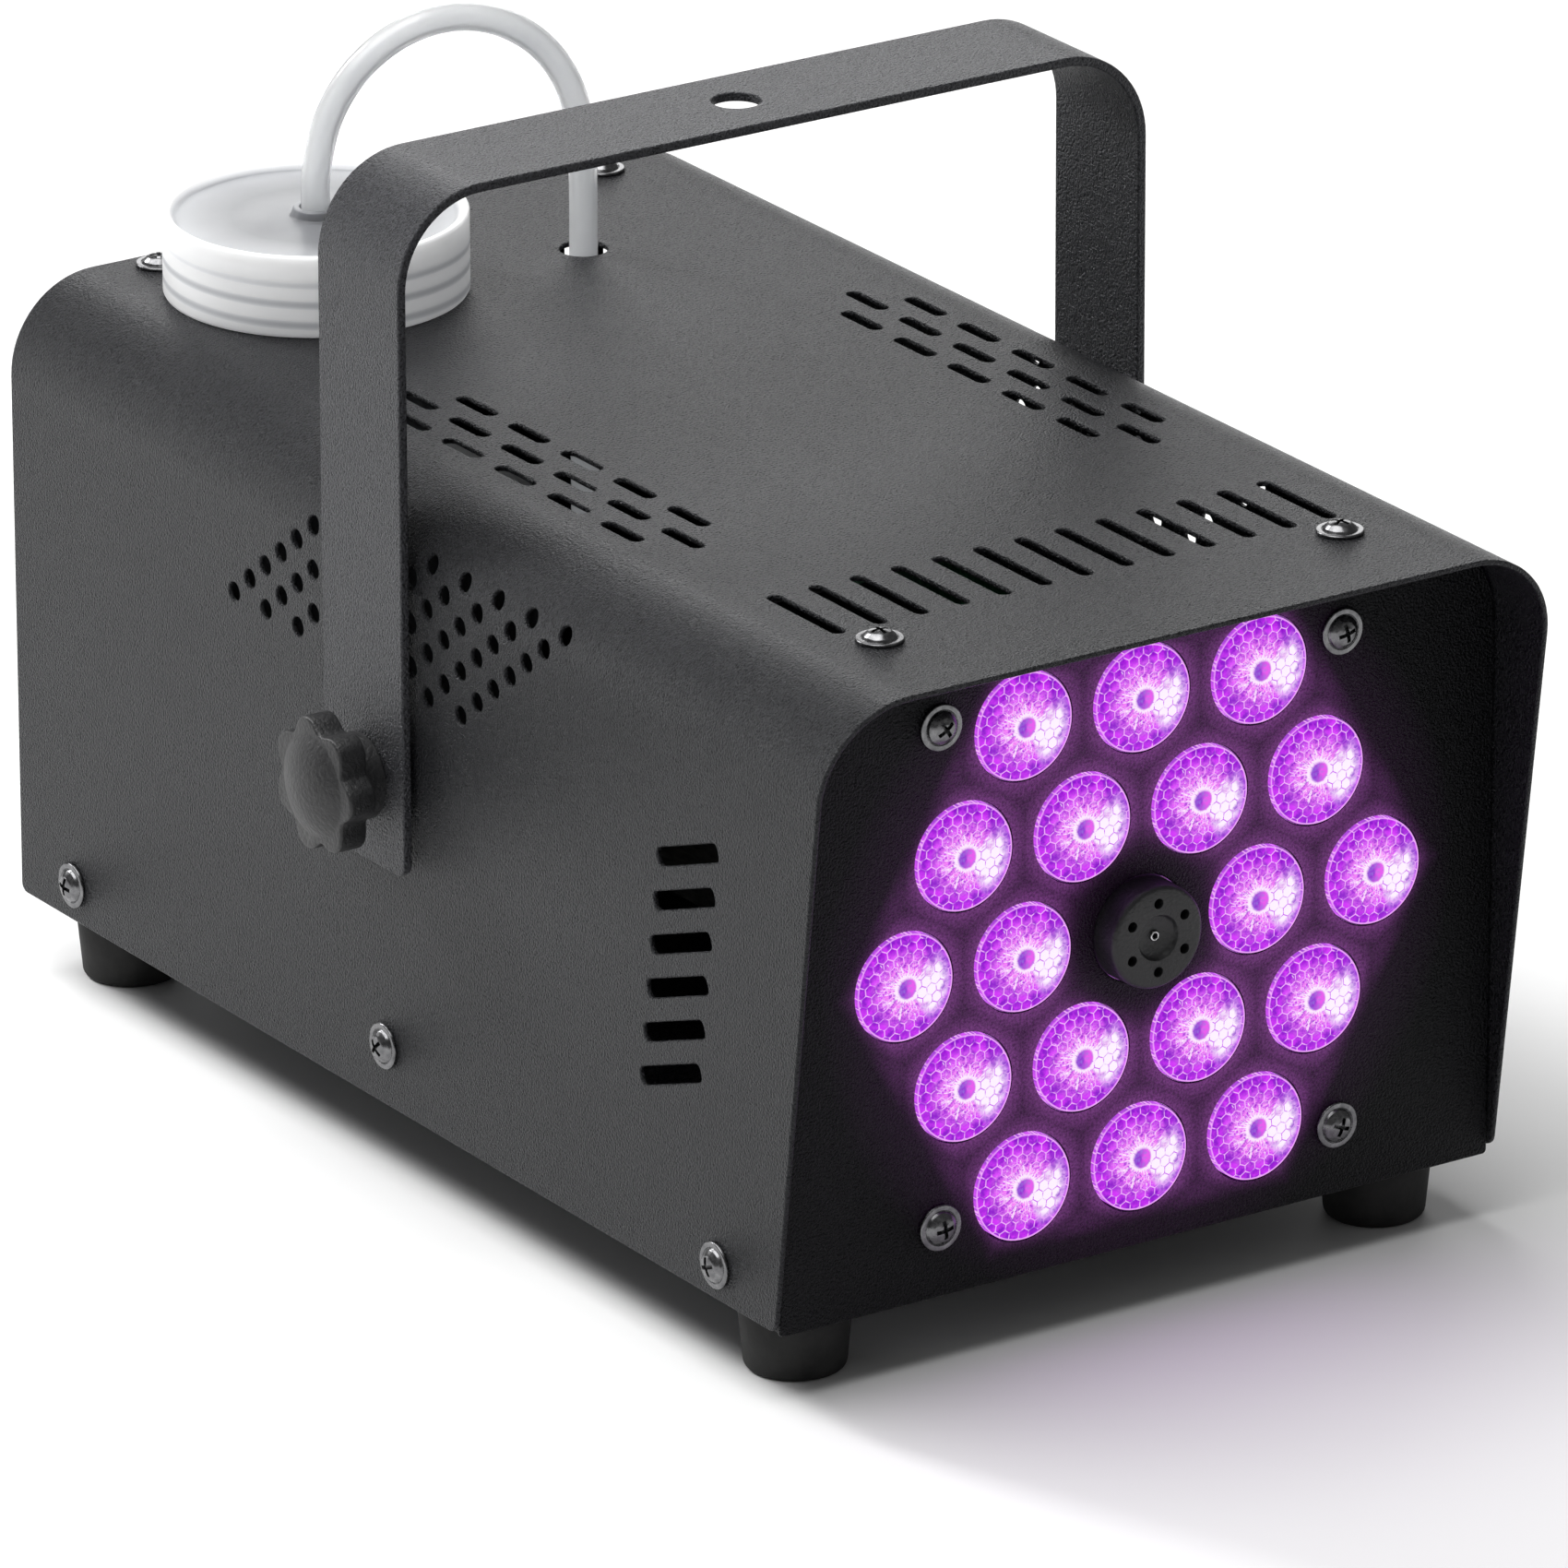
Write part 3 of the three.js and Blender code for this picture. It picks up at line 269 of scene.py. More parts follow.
def metal(name, dark, light, rough, streak=(1, 1, 1), grain=700.0):
    """A turned, drawn or cast metal: its two tones, its roughness and the way its marks run."""
    m = Nodes(name).set(metallic=1.0)
    marks = m.noise(grain, 3, 0.6, stretch=streak)
    m.put(m.ramp(marks, [(0.25, dark), (0.8, light)]), "Base Color")
    m.put(m.spread(marks, rough[0], rough[1], 0.25, 0.75), "Roughness")
    m.bump(marks, 0.00003, 0.6)
    return m.material


def frosted_cap():
    """The cap's frosted plastic: a white wall with the thread showing on it as soft dark bands of painted
    shade, a top plate greyed by painted shade that darkens towards its middle, and a faint painted glow on
    the wall.
    """
    m = Nodes("milky_cap_painted_shade_glow").set(transmission_weight=0.22, ior=1.45, specular_ior_level=0.4)
    m.set(subsurface_weight=1.0, subsurface_scale=0.004, subsurface_radius=(1.0, 1.0, 1.0))
    x, y, z = (m.axis(i) for i in range(3))
    share = m.over(m.length(x, y), cap_radius)
    turn = m.plus(m.times(z, TAU / (4.4 * MM)), m.math("ARCTAN2", y, x))
    # painted shade: dark bands that follow the thread's turns up the wall, standing in for the shade of the
    # ridges inside
    painted_thread_shade = m.spread(m.math("SINE", turn), 0.0, 1.0, -0.1, 1.0)
    painted_thread_shade = m.times(painted_thread_shade, m.spread(z, 1.0, 0.0, 10.5 * MM, 13 * MM), clamp=True)
    cloud = m.spread(m.noise(70, 3, 0.55), 0.0, 1.0, 0.3, 0.7)
    white = m.mix(cloud, (0.90, 0.905, 0.92), (0.97, 0.975, 0.98))
    wall = m.mix(m.times(painted_thread_shade, 0.8), white, (0.42, 0.43, 0.45))
    # painted shade: the top plate is grey, darker towards its middle
    plate = m.mix(m.spread(share, 0.0, 1.0, 0.55, 0.92), (0.24, 0.245, 0.26), (0.52, 0.53, 0.55))
    colour = m.mix(m.spread(share, 0.0, 1.0, 0.91, 0.945), plate, wall)
    m.put(colour, "Base Color")
    # painted glow: the wall emits its own colour, though the cap is no lamp
    m.put(colour, "Emission Color")
    m.put(m.spread(share, 0.0, 0.16, 0.91, 0.945), "Emission Strength")
    m.put(m.spread(cloud, 0.28, 0.4), "Roughness")
    m.bump(m.noise(260, 2), 0.00005, 0.5)
    return m.material


def milky(name, colour, rough, transmission, glow):
    """Milky translucent plastic; glow is the strength of a painted glow, an emission from plastic that is no
    lamp.
    """
    m = Nodes(name).set(transmission_weight=transmission, ior=1.45, specular_ior_level=0.5,
                        subsurface_weight=1.0, subsurface_scale=0.004)
    # painted glow: emission at the glow strength on a part that is no lamp
    m.set(subsurface_radius=(1.0, 1.0, 1.0), emission_color=(0.95, 0.97, 1.0, 1), emission_strength=glow)
    cloud = m.noise(55, 3, 0.55)
    m.put(m.mix(m.spread(cloud, 0, 1, 0.3, 0.7), colour, tuple(0.9 * c for c in colour)), "Base Color")
    m.put(m.spread(m.noise(120, 3), rough - 0.05, rough + 0.07, 0.3, 0.7), "Roughness")
    m.bump(m.noise(260, 2), 0.00006, 0.5)
    return m.material


def lit_lens():
    """A lens over a violet LED: a cool heart in a pale ring, sparks, honeycomb lines, painted shade on the
    upper side of each cell and a painted highlight on one side of the lens.
    """
    m = Nodes("lens_violet").set(
        ior=1.49, specular_ior_level=0.15, roughness=0.2, base_color=(0.02, 0.002, 0.05, 1))
    x, y = m.axis(0), m.axis(1)
    share = m.over(m.length(x, y), lens_radius)
    apart = m.math("MAXIMUM", share, 0.02)
    right, up = (m.over(m.over(v, lens_radius), apart) for v in (x, y))
    streaks = m.noise(1.0, 3, 0.6, at=m.combine(
        m.times(right, 8.0), m.times(up, 8.0), m.times(share, 3.5)))
    flecks = m.noise(1100, 4, 0.7)
    blotches = m.noise(420, 3, 0.6)
    body = m.mix(m.spread(blotches, 0, 1, 0.40, 0.60), (0.26, 0.006, 0.60), (0.66, 0.035, 0.95))
    gx, gy = m.triangular(x, y, cell_pitch)
    slope = m.plus(m.times(m.math("ABSOLUTE", gx), 0.5),
                   m.times(m.math("ABSOLUTE", gy), math.sqrt(3) / 2))
    edge = m.minus(0.5, m.math("MAXIMUM", m.math("ABSOLUTE", gx), slope))
    # painted shade: each honeycomb cell darker towards its upper side
    painted_cell_shade = m.times(m.spread(gy, 0.0, 0.8, -0.1, 0.45), m.spread(flecks, 0.4, 1.2, 0.35, 0.6), clamp=True)
    body = m.mix(painted_cell_shade, body, (0.30, 0.004, 0.66))
    side = m.plus(m.times(right, 0.97), m.times(up, -0.22))
    glow = m.times(m.spread(share, 0.95, 0.0, 0.26, 0.80), m.spread(flecks, 0.1, 1.4, 0.40, 0.58), clamp=True)
    body = m.mix(glow, body, (0.98, 0.24, 0.97))
    shards = m.spread(m.cells(1500, "DISTANCE_TO_EDGE"), 1.0, 0.0, 0.02, 0.10)
    shards = m.times(shards, m.spread(share, 1.0, 0.0, 0.3, 0.72), clamp=True)
    shards = m.times(shards, m.spread(blotches, 0.0, 0.9, 0.45, 0.56), clamp=True)
    body = m.mix(shards, body, (1.0, 0.76, 1.0))
    spark = m.over(m.minus(m.spread(streaks, 0.2, 0.80, 0.47, 0.70), share), 0.08, clamp=True)
    spark = m.times(spark, m.spread(flecks, 0.2, 1.3, 0.42, 0.58), clamp=True)
    body = m.mix(spark, body, (1.0, 0.82, 1.0))
    # painted highlight: a bright zone fixed on one side of the lens, which also sets the honeycomb lines'
    # colour
    painted_side_highlight = m.times(m.spread(side, 0.0, 1.0, 0.62, 0.95), m.spread(share, 1.0, 0.0, 0.66, 0.97))
    painted_side_highlight = m.times(painted_side_highlight, m.spread(blotches, 0.3, 1.8, 0.38, 0.58), clamp=True)
    body = m.mix(painted_side_highlight, body, (1.0, 0.90, 1.0))
    broken = m.spread(m.noise(800, 2, 0.5), 0.15, 1.0, 0.38, 0.50)
    line = m.times(m.spread(edge, 1.0, 0.0, 0.02, 0.065), broken, clamp=True)
    line_colour = m.mix(painted_side_highlight, (0.96, 0.50, 1.0), (0.58, 0.07, 0.88))
    body = m.mix(line, body, line_colour)
    ring = m.math("ABSOLUTE", m.minus(share, m.spread(streaks, 0.21, 0.29, 0.4, 0.7)))
    body = m.mix(m.spread(ring, 0.95, 0.0, 0.014, 0.05), body, (1.0, 0.86, 1.0))
    heart = m.mix(m.spread(right, 0, 1, -0.8, 0.8), (0.28, 0.03, 0.62), (0.84, 0.10, 0.86))
    heart = m.mix(m.spread(flecks, 0, 0.6, 0.42, 0.62), heart, (0.30, 0.20, 0.72))
    body = m.mix(m.spread(share, 1.0, 0.0, 0.165, 0.205), body, heart)
    rim = m.math("ABSOLUTE", m.minus(share, 0.982))
    lit = m.mix(m.spread(rim, 0.9, 0.0, 0.006, 0.02), body, (0.92, 0.42, 1.0))
    m.put(lit, "Emission Color")
    m.set(emission_strength=0.97)
    return m.material


def powder_with_painted_glow(name, dark, light):
    """The front panel's powder coat, with a painted glow of the lenses' light lying on it round each of them,
    made as emission.
    """
    material = powder_coat(name, 1.0, dark, light, 0.16)
    m = Nodes(material)
    x = m.axis(0)
    z = m.minus(m.axis(2), middle("nozzle").z)
    near = m.length(*m.triangular(x, z, lens_pitch))
    centre = m.over(m.length(x, z), lens_pitch)
    wide, tall = (m.over(m.math("ABSOLUTE", v), lens_pitch) for v in (x, z))
    tip = m.plus(wide, m.over(tall, math.sqrt(3)))
    hexagon = m.math("MAXIMUM", m.times(tall, 2 / math.sqrt(3)), tip)
    field = m.times(m.spread(centre, 0.0, 1.0, 0.5, 0.8), m.spread(hexagon, 1.0, 0.0, 2.36, 2.6))
    # painted light: emission lays a violet halo round each lens hole and a wide faint glow over the panel's
    # middle, standing in for the lenses' light on the panel
    halo = m.times(m.spread(near, 1.0, 0.0, 0.40, 0.68), field)
    painted_wide_glow = m.times(m.spread(centre, 1.0, 0.0, 1.4, 2.7), m.spread(centre, 0.1, 1.0, 0.4, 1.0))
    total = m.plus(m.times(m.math("POWER", halo, 1.7), 0.15), m.times(painted_wide_glow, 0.026))
    total = m.times(total, m.spread(m.noise(1900, 2, 0.55), 0.55, 1.45, 0.3, 0.7))
    ahead = m.math("LESS_THAN", m.axis(1), panel_low.y + 0.1 * MM)
    m.put((0.85, 0.20, 1.0, 1), "Emission Color")
    m.put(m.times(total, ahead), "Emission Strength")
    return material


def circuit(name, mask, trace):
    """Solder mask with the tracks just showing under it."""
    m = Nodes(name).set(roughness=0.35)
    tracks = m.cells(260, "DISTANCE_TO_EDGE")
    line = m.spread(tracks, 1.0, 0.0, 0.02, 0.06)
    m.put(m.mix(line, mask, trace), "Base Color")
    m.bump(line, 0.00004, 0.6)
    return m.material


def felt():
    """Dark woven glass insulation."""
    m = Nodes("insulation_felt").set(roughness=0.95, specular_ior_level=0.1)
    weave = m.noise(900, 4, 0.7, stretch=(1, 0.25, 1))
    m.put(m.ramp(weave, [(0.3, (0.035, 0.034, 0.032)), (0.7, (0.10, 0.098, 0.092))]), "Base Color")
    m.bump(weave, 0.0006, 0.9)
    return m.material


def paper_floor():
    m = Nodes("floor_white").set(roughness=0.85, specular_ior_level=0.12)
    m.put(m.ramp(m.noise(3, 2), [(0.3, (0.90, 0.90, 0.90)), (0.7, (0.93, 0.93, 0.93))]), "Base Color")
    return m.material


lens_radius = 11.15 * MM
lens_pitch = 28 * MM
cell_pitch = 2.3 * MM
powder = powder_coat("powder_black", 1.0, 0.004, 0.018, 0.28)
# painted light: a lighter copy of the same powder coat, so the bracket looks more lit than the cover
bracket_powder_painted_lighter = powder_coat("powder_black_bracket_painted_lighter", 1.0, 0.012, 0.045, 0.38)
# painted shade: a darker, less shiny copy of the same powder coat so the front panel looks unlit, carrying
# the painted glow as well
panel_powder_painted_shade_glow = powder_with_painted_glow("powder_black_panel_painted_shade_glow", 0.001, 0.005)
moulded = moulded_black("moulded_black", 2200, 0.00009)
knob_plastic = moulded_black("moulded_black_coarse", 1100, 0.0004)
nozzle_black = moulded_black("moulded_black_matt", 1300, 0.0003)
rubber = rubber_black()
screw_steel = metal("screw_steel", (0.10, 0.10, 0.105), (0.26, 0.26, 0.265), (0.2, 0.32))
bright_steel = metal("bright_steel", (0.45, 0.45, 0.46), (0.7, 0.7, 0.71), (0.18, 0.3))
aluminium = metal("cast_aluminium", (0.42, 0.43, 0.44), (0.66, 0.67, 0.68), (0.4, 0.6), grain=300)
copper = metal("copper_pipe", (0.48, 0.2, 0.1), (0.75, 0.36, 0.2), (0.25, 0.4))
brass = metal("brass_pipe", (0.42, 0.3, 0.12), (0.7, 0.52, 0.24), (0.2, 0.36))
# the cap's plastic carries painted shade and a painted glow
milky_cap_painted_shade_glow = frosted_cap()
# the hose gets a faint painted glow
milky_hose_painted_glow = milky("milky_hose_painted_glow", (0.95, 0.96, 0.97), 0.12, 0.6, 0.05)
milky_thread = milky("milky_thread", (0.93, 0.95, 0.96), 0.3, 0.1, 0.0)
milky_tank = milky("milky_tank", (0.42, 0.43, 0.44), 0.4, 0.1, 0.0)
violet = lit_lens()
board_white = circuit("board_white", (0.72, 0.73, 0.75), (0.6, 0.58, 0.5))
board_green = circuit("board_green", (0.02, 0.12, 0.05), (0.05, 0.22, 0.09))
insulation = felt()


# ---------- mesh helpers ----------
def add(name, bm, material, body, nodes=(), matrix=None, weighted=True):
    """Makes an object of a bmesh, smooth, riding on `body` and standing for `nodes`."""
    bmesh.ops.remove_doubles(bm, verts=bm.verts, dist=1e-7)
    mesh = bpy.data.meshes.new(name)
    bm.to_mesh(mesh)
    bm.free()
    return add_mesh(name, mesh, material, body, nodes, matrix, weighted)


def add_mesh(name, mesh, material, body, nodes=(), matrix=None, weighted=True):
    mesh.shade_smooth()
    if not mesh.materials:
        mesh.materials.append(material)
    piece = bpy.data.objects.new(name, mesh)
    scene.collection.objects.link(piece)
    if matrix is not None:
        piece.matrix_world = matrix
    if weighted:
        modifier = piece.modifiers.new("even_normals", "WEIGHTED_NORMAL")
        modifier.weight = 100
        modifier.keep_sharp = True
    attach(piece, body)
    if nodes:
        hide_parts(*nodes)
    return piece


def arc(centre, radius, start, end, steps):
    """Points on an arc, both ends included."""
    return [
        (centre[0] + radius * math.cos(a), centre[1] + radius * math.sin(a))
        for a in np.linspace(start, end, steps + 1)
    ]


def around(count):
    """Angles spread evenly over a full turn."""
    return np.linspace(0, TAU, count, endpoint=False)


def polar(radius, angle):
    return radius * math.cos(angle), radius * math.sin(angle)


def filleted(points, radius, steps=4, closed=True):
    """A polyline with its corners rounded; radius is one number or one for each corner."""
    count = len(points)
    radii = radius if isinstance(radius, (list, tuple)) else [radius] * count
    out = []
    for i, (x, y) in enumerate(points):
        here = Vector((x, y))
        if radii[i] <= 0 or (not closed and i in (0, count - 1)):
            out.append((x, y))
            continue
        before = Vector(points[i - 1]) - here
        after = Vector(points[(i + 1) % count]) - here
        angle = before.angle(after)
        reach = min(radii[i] / math.tan(angle / 2), 0.49 * before.length, 0.49 * after.length)
        real = reach * math.tan(angle / 2)
        centre = here + (before.normalized() + after.normalized()).normalized() * (real / math.sin(angle / 2))
        start = here + before.normalized() * reach - centre
        end = here + after.normalized() * reach - centre
        turn = math.atan2(start.x * end.y - start.y * end.x, start.dot(end))
        first = math.atan2(start.y, start.x)
        out += arc(centre, real, first, first + turn, steps)
    return out


def circle(x, y, radius, count=28):
    """A hole's edge, clockwise, so that the sheet lies on its left."""
    return [(x + radius * math.cos(-a), y + radius * math.sin(-a)) for a in around(count)]


def slot_edge(x, y, length, width, angle, count=8):
    """A slot's edge, clockwise, its length turned by angle from the first axis."""
    reach = (length - width) / 2
    ends = arc((reach, 0), width / 2, math.pi / 2, -math.pi / 2, count)
    ends += arc((-reach, 0), width / 2, -math.pi / 2, -1.5 * math.pi, count)
    cos, sin = math.cos(angle), math.sin(angle)
    return [(x + u * cos - v * sin, y + u * sin + v * cos) for u, v in ends]


def box_edge(x, y, length, width, corner, angle, steps=3):
    """A round-cornered rectangle's edge, clockwise, its length turned by angle from the first axis."""
    u, v = length / 2, width / 2
    loop = filleted([(u, v), (u, -v), (-u, -v), (-u, v)], corner, steps)
    cos, sin = math.cos(angle), math.sin(angle)
    return [(x + p * cos - q * sin, y + p * sin + q * cos) for p, q in loop]


def moved_in(loop, distance):
    """The loop moved into the sheet, which lies on its left."""
    points = np.array(loop)
    ahead = np.roll(points, -1, 0) - points
    ahead /= np.linalg.norm(ahead, axis=1)[:, None]
    left = np.stack([-ahead[:, 1], ahead[:, 0]], 1)
    both = left + np.roll(left, 1, 0)
    both /= np.linalg.norm(both, axis=1)[:, None]
    return points + both * (distance / np.maximum((both * left).sum(1), 0.3))[:, None]


def inside(point, loop):
    x, y = point
    hit = False
    for (x0, y0), (x1, y1) in zip(loop, np.roll(loop, -1, 0)):
        if (y0 > y) != (y1 > y) and x < (x1 - x0) * (y - y0) / (y1 - y0) + x0:
            hit = not hit
    return hit


def sheet(outline, holes, thick, edge, fold=None, cuts=(), arcs=3):
    """A punched sheet with rounded edges as a bmesh. It is drawn flat in (u, v), cut across u at
    each of `cuts`, and then `fold` puts each (u, v, height) in its place."""
    quarter = [math.pi / 2 * k / arcs for k in range(arcs + 1)]
    upper = [(edge * (1 - math.sin(a)), thick / 2 - edge * (1 - math.cos(a))) for a in quarter]
    profile = upper + [(inset, -height) for inset, height in reversed(upper)]
    bm = bmesh.new()
    flat, constraints, owner, fronts, backs = [], [], [], [], []
    for number, loop in enumerate([outline, *holes]):
        rings = []
        for inset, height in profile:
            ring = moved_in(loop, inset)
            rings.append([bm.verts.new((u, v, height)) for u, v in ring])
        for upper_ring, lower_ring in zip(rings, rings[1:]):
            for i in range(len(loop)):
                j = (i + 1) % len(loop)
                bm.faces.new((upper_ring[i], lower_ring[i], lower_ring[j], upper_ring[j]))
        first = len(flat)
        flat += [Vector(p) for p in moved_in(loop, edge)]
        constraints += [(first + i, first + (i + 1) % len(loop)) for i in range(len(loop))]
        owner += [number] * len(loop)
        fronts += rings[0]
        backs += rings[-1]
    rim = np.array([p[:] for p in flat[:len(outline)]])
    verts, _, faces, sources, _, _ = delaunay_2d_cdt(flat, constraints, [], 0, 1e-9)
    for face in faces:
        own = [sources[i][0] for i in face]
        owners = {owner[i] for i in own}
        centre = sum((verts[i] for i in face), Vector((0, 0))) / 3
        if len(owners) == 1 and (owners != {0} or not inside(centre, rim)):
            continue
        bm.faces.new([fronts[i] for i in own])
        bm.faces.new([backs[i] for i in reversed(own)])
    for place in cuts:
        whole = bm.verts[:] + bm.edges[:] + bm.faces[:]
        bmesh.ops.bisect_plane(bm, geom=whole, dist=1e-8, plane_co=(place, 0, 0), plane_no=(1, 0, 0))
    if fold:
        for vert in bm.verts:
            vert.co = fold(*vert.co)
    return bm


def lathe(profile, steps=64, closed=False):
    """A solid of revolution round +Z as a bmesh, from (radius, height) points, bottom outwards and up."""
    bm = bmesh.new()
    rings = []
    for radius, height in profile:
        if radius < 1e-9:
            rings.append([bm.verts.new((0, 0, height))] * steps)
        else:
            rings.append([
                bm.verts.new((*polar(radius, a), height))
                for a in around(steps)
            ])
    pairs = list(zip(rings, rings[1:])) + ([(rings[-1], rings[0])] if closed else [])
    for low, high in pairs:
        for i in range(steps):
            j = (i + 1) % steps
            corners = list(dict.fromkeys((low[i], low[j], high[j], high[i])))
            if len(corners) > 2:
                bm.faces.new(corners)
    return bm


def stack(loops):
    """A closed solid through a list of equal loops of 3-D points, capped at both ends."""
    bm = bmesh.new()
    rings = [[bm.verts.new(p) for p in loop] for loop in loops]
    for low, high in zip(rings, rings[1:]):
        for i in range(len(low)):
            j = (i + 1) % len(low)
            bm.faces.new((low[i], low[j], high[j], high[i]))
    bm.faces.new(list(reversed(rings[0])))
    bm.faces.new(rings[-1])
    bmesh.ops.recalc_face_normals(bm, faces=bm.faces)
    return bm


def lifted(height_of_middle):
    """A fold that leaves a sheet flat, its middle at a height."""
    return lambda u, v, height: Vector((u, v, height_of_middle + height))


def facing(direction, place):
    """The matrix that turns local +Z to a direction and puts the origin at a place."""
    turn = Vector((0, 0, 1)).rotation_difference(Vector(direction)).to_matrix().to_4x4()
    return Matrix.Translation(Vector(place)) @ turn


front_way, up_way = (0, -1, 0), (0, 0, 1)
# turns local +Z to the front and keeps local +Y upright
upright = Matrix(((1, 0, 0, 0), (0, 0, -1, 0), (0, 1, 0, 0), (0, 0, 0, 1)))
# turns local +Z to the rear and keeps local +Y upright
upright_rear = Matrix(((-1, 0, 0, 0), (0, 0, 1, 0), (0, 1, 0, 0), (0, 0, 0, 1)))

# ---------- feed hose ----------
hose_diameter = 6 * MM
hose_bore = 3.8 * MM
centre_y = 136.35
hose_points = [
    (-35.6, 247.8, 39.2), (-35.6, 247.8, 60), (-35.6, 247.8, 85), (-35.6, 247.8, 110),
    (-35.6, 247.8, 135), (-35.6, 247.8, 155), (-35.6, 247.8, 168), (-35.2, 247.8, 177),
    (-32.2, 247.5, 188), (-25.8, 246.7, 197), (-16.4, 245.4, 203.2), (-5.4, 243.8, 205.4),
    (5.4, 242, 203.2), (14.6, 240.3, 197), (20.7, 239.2, 188), (23.6, 238.7, 177),
    (24, 238.6, 166), (24, 238.6, 150), (24, 238.6, 130), (24, 238.6, 108), (24, 238.6, 86.3),
]


def smooth_route(points, steps):
    """A Catmull-Rom curve through the points."""
    p = [Vector(q) for q in points]
    p = [2 * p[0] - p[1], *p, 2 * p[-1] - p[-2]]
    out = []
    for a, b, c, d in zip(p, p[1:], p[2:], p[3:]):
        for k in range(steps):
            t = k / steps
            out.append(0.5 * ((2 * b) + (c - a) * t + (2 * a - 5 * b + 4 * c - d) * t * t
                              + (3 * b - a - 3 * c + d) * t * t * t))
    return out + [p[-2]]


def hose():
    route = smooth_route([(x * MM, (y - centre_y) * MM, z * MM) for x, y, z in hose_points], 6)
    sides = 28
    bm = bmesh.new()
    ways = [(b - a).normalized() for a, b in zip(route, route[1:])]
    ways = [ways[0]] + [(a + b).normalized() for a, b in zip(ways, ways[1:])] + [ways[-1]]
    across = Vector((0, 1, 0))
    walls = {hose_diameter / 2: [], hose_bore / 2: []}
    for place, way in zip(route, ways):
        across = (across - way * across.dot(way)).normalized()
        other = way.cross(across)
        for radius, rings in walls.items():
            rings.append([
                bm.verts.new(place + radius * (math.cos(a) * across + math.sin(a) * other))
                for a in around(sides)
            ])
    outer, inner = walls.values()
    for i in range(sides):
        j = (i + 1) % sides
        for low, high in zip(outer, outer[1:]):
            bm.faces.new((low[i], low[j], high[j], high[i]))
        for low, high in zip(inner, inner[1:]):
            bm.faces.new((low[j], low[i], high[i], high[j]))
        bm.faces.new((outer[0][j], outer[0][i], inner[0][i], inner[0][j]))
        bm.faces.new((outer[-1][i], outer[-1][j], inner[-1][j], inner[-1][i]))
    piece = add("feed_hose", bm, milky_hose_painted_glow, "housing", ["feed_tube"])
    length = sum((b - a).length for a, b in zip(route, route[1:]))
    tuple(route[0])
    [tuple(p) for p in route]


hose()

# ---------- cover ----------
sheet_thick = 1.2 * MM
edge_round = 0.42 * MM
half_width = cover_high.x
cover_top = cover_high.z
cover_foot = cover_low.z
hood_front = cover_low.y
cover_rear = cover_high.y
hood_reach = 17.8 * MM
front_foot = hood_front + hood_reach
bend = 20 * MM
louver_tilt = math.radians(20)
slot_width = 3 * MM
short_slot = 13 * MM
slot_pitch = 9.74
side_slot_pitch = 19.57
column_x = 54.7
screw_hole = 2.3 * MM
stud_hole = 3.3 * MM
bend_middle = bend - sheet_thick / 2
flat_half = half_width - bend
bend_length = bend_middle * math.pi / 2


def fold_cover(u, v, height, half=half_width, top=cover_top, radius=bend, thick=sheet_thick):
    """Where a point of the flat sheet lies once the two long bends are made."""
    mid = radius - thick / 2
    flat = half - radius
    side = math.copysign(1, u)
    past = abs(u) - flat
    if past <= 0:
        return Vector((u, v, top - thick / 2 + height))
    if past < mid * math.pi / 2:
        up, out = polar(mid + height, past / mid)
        return Vector((side * (flat + out), v, top - radius + up))
    return Vector((side * (half - thick / 2 + height), v, top - radius - (past - mid * math.pi / 2)))


def unfold_z(z):
    """How far along the flat sheet from the middle a height on the side lies."""
    if z <= cover_top - bend:
        return flat_half + bend_length + (cover_top - bend - z)
    return flat_half + bend_middle * (math.pi / 2 - (z - cover_top + bend) / bend)


def bend_cuts(flat, radius, thick, steps):
    length = (radius - thick / 2) * math.pi / 2
    places = [flat + length * k / steps for k in range(steps + 1)]
    return [-p for p in places] + places


def slot_row(y, length):
    """The row of slots that the cover, the rear panel and the tray share."""
    return [slot_edge((i - 6) * slot_pitch * MM, y, length, slot_width, math.pi / 2) for i in range(13)]


def slot_column(x, count):
    """A column of short slots along one side of the cover or the tray."""
    places = [front_foot + (129.5 + (i - (count - 1) / 2) * side_slot_pitch) * MM for i in range(count)]
    return [slot_edge(x, y, short_slot, slot_width, math.pi / 2) for y in places]


def front_edge_y(z):
    return front_foot - hood_reach * (z - cover_foot) / (cover_top - cover_foot)


def cover_holes():
    holes = slot_row(front_foot + 31.1 * MM, 25 * MM)
    for side in (-1, 1):
        for row in (-1, 0, 1):
            holes += slot_column((side * column_x + row * 7.88) * MM, 6 if row == 0 else 5)
        for row in range(7):
            for column in range(8):
                z = (110.1 + row * 4.7) * MM
                y = front_foot + (198.4 - (2 * column + row) * 6.12) * MM
                holes.append(circle(side * unfold_z(z), y, 2 * MM, 24))
        for i in range(6):
            z = (107 - i * 9.65) * MM
            place = (side * unfold_z(z), front_edge_y(z) + 42.4 * MM)
            holes.append(box_edge(*place, 22.6 * MM, 3.8 * MM, 1.3 * MM, math.pi / 2 - side * louver_tilt))
        holes.append(circle(side * unfold_z(pivot.z), pivot.y, stud_hole))
        for y in (front_foot + 11 * MM, cover_rear - 7 * MM):
            holes.append(circle(side * column_x * MM, y, screw_hole))
    hose_hole = middle("pump_body")
    holes.append(circle(hose_hole.x, hose_hole.y, 5 * MM, 40))
    neck = middle("tank_cap")
    holes.append(circle(neck.x, neck.y, 28.5 * MM, 72))
    return holes


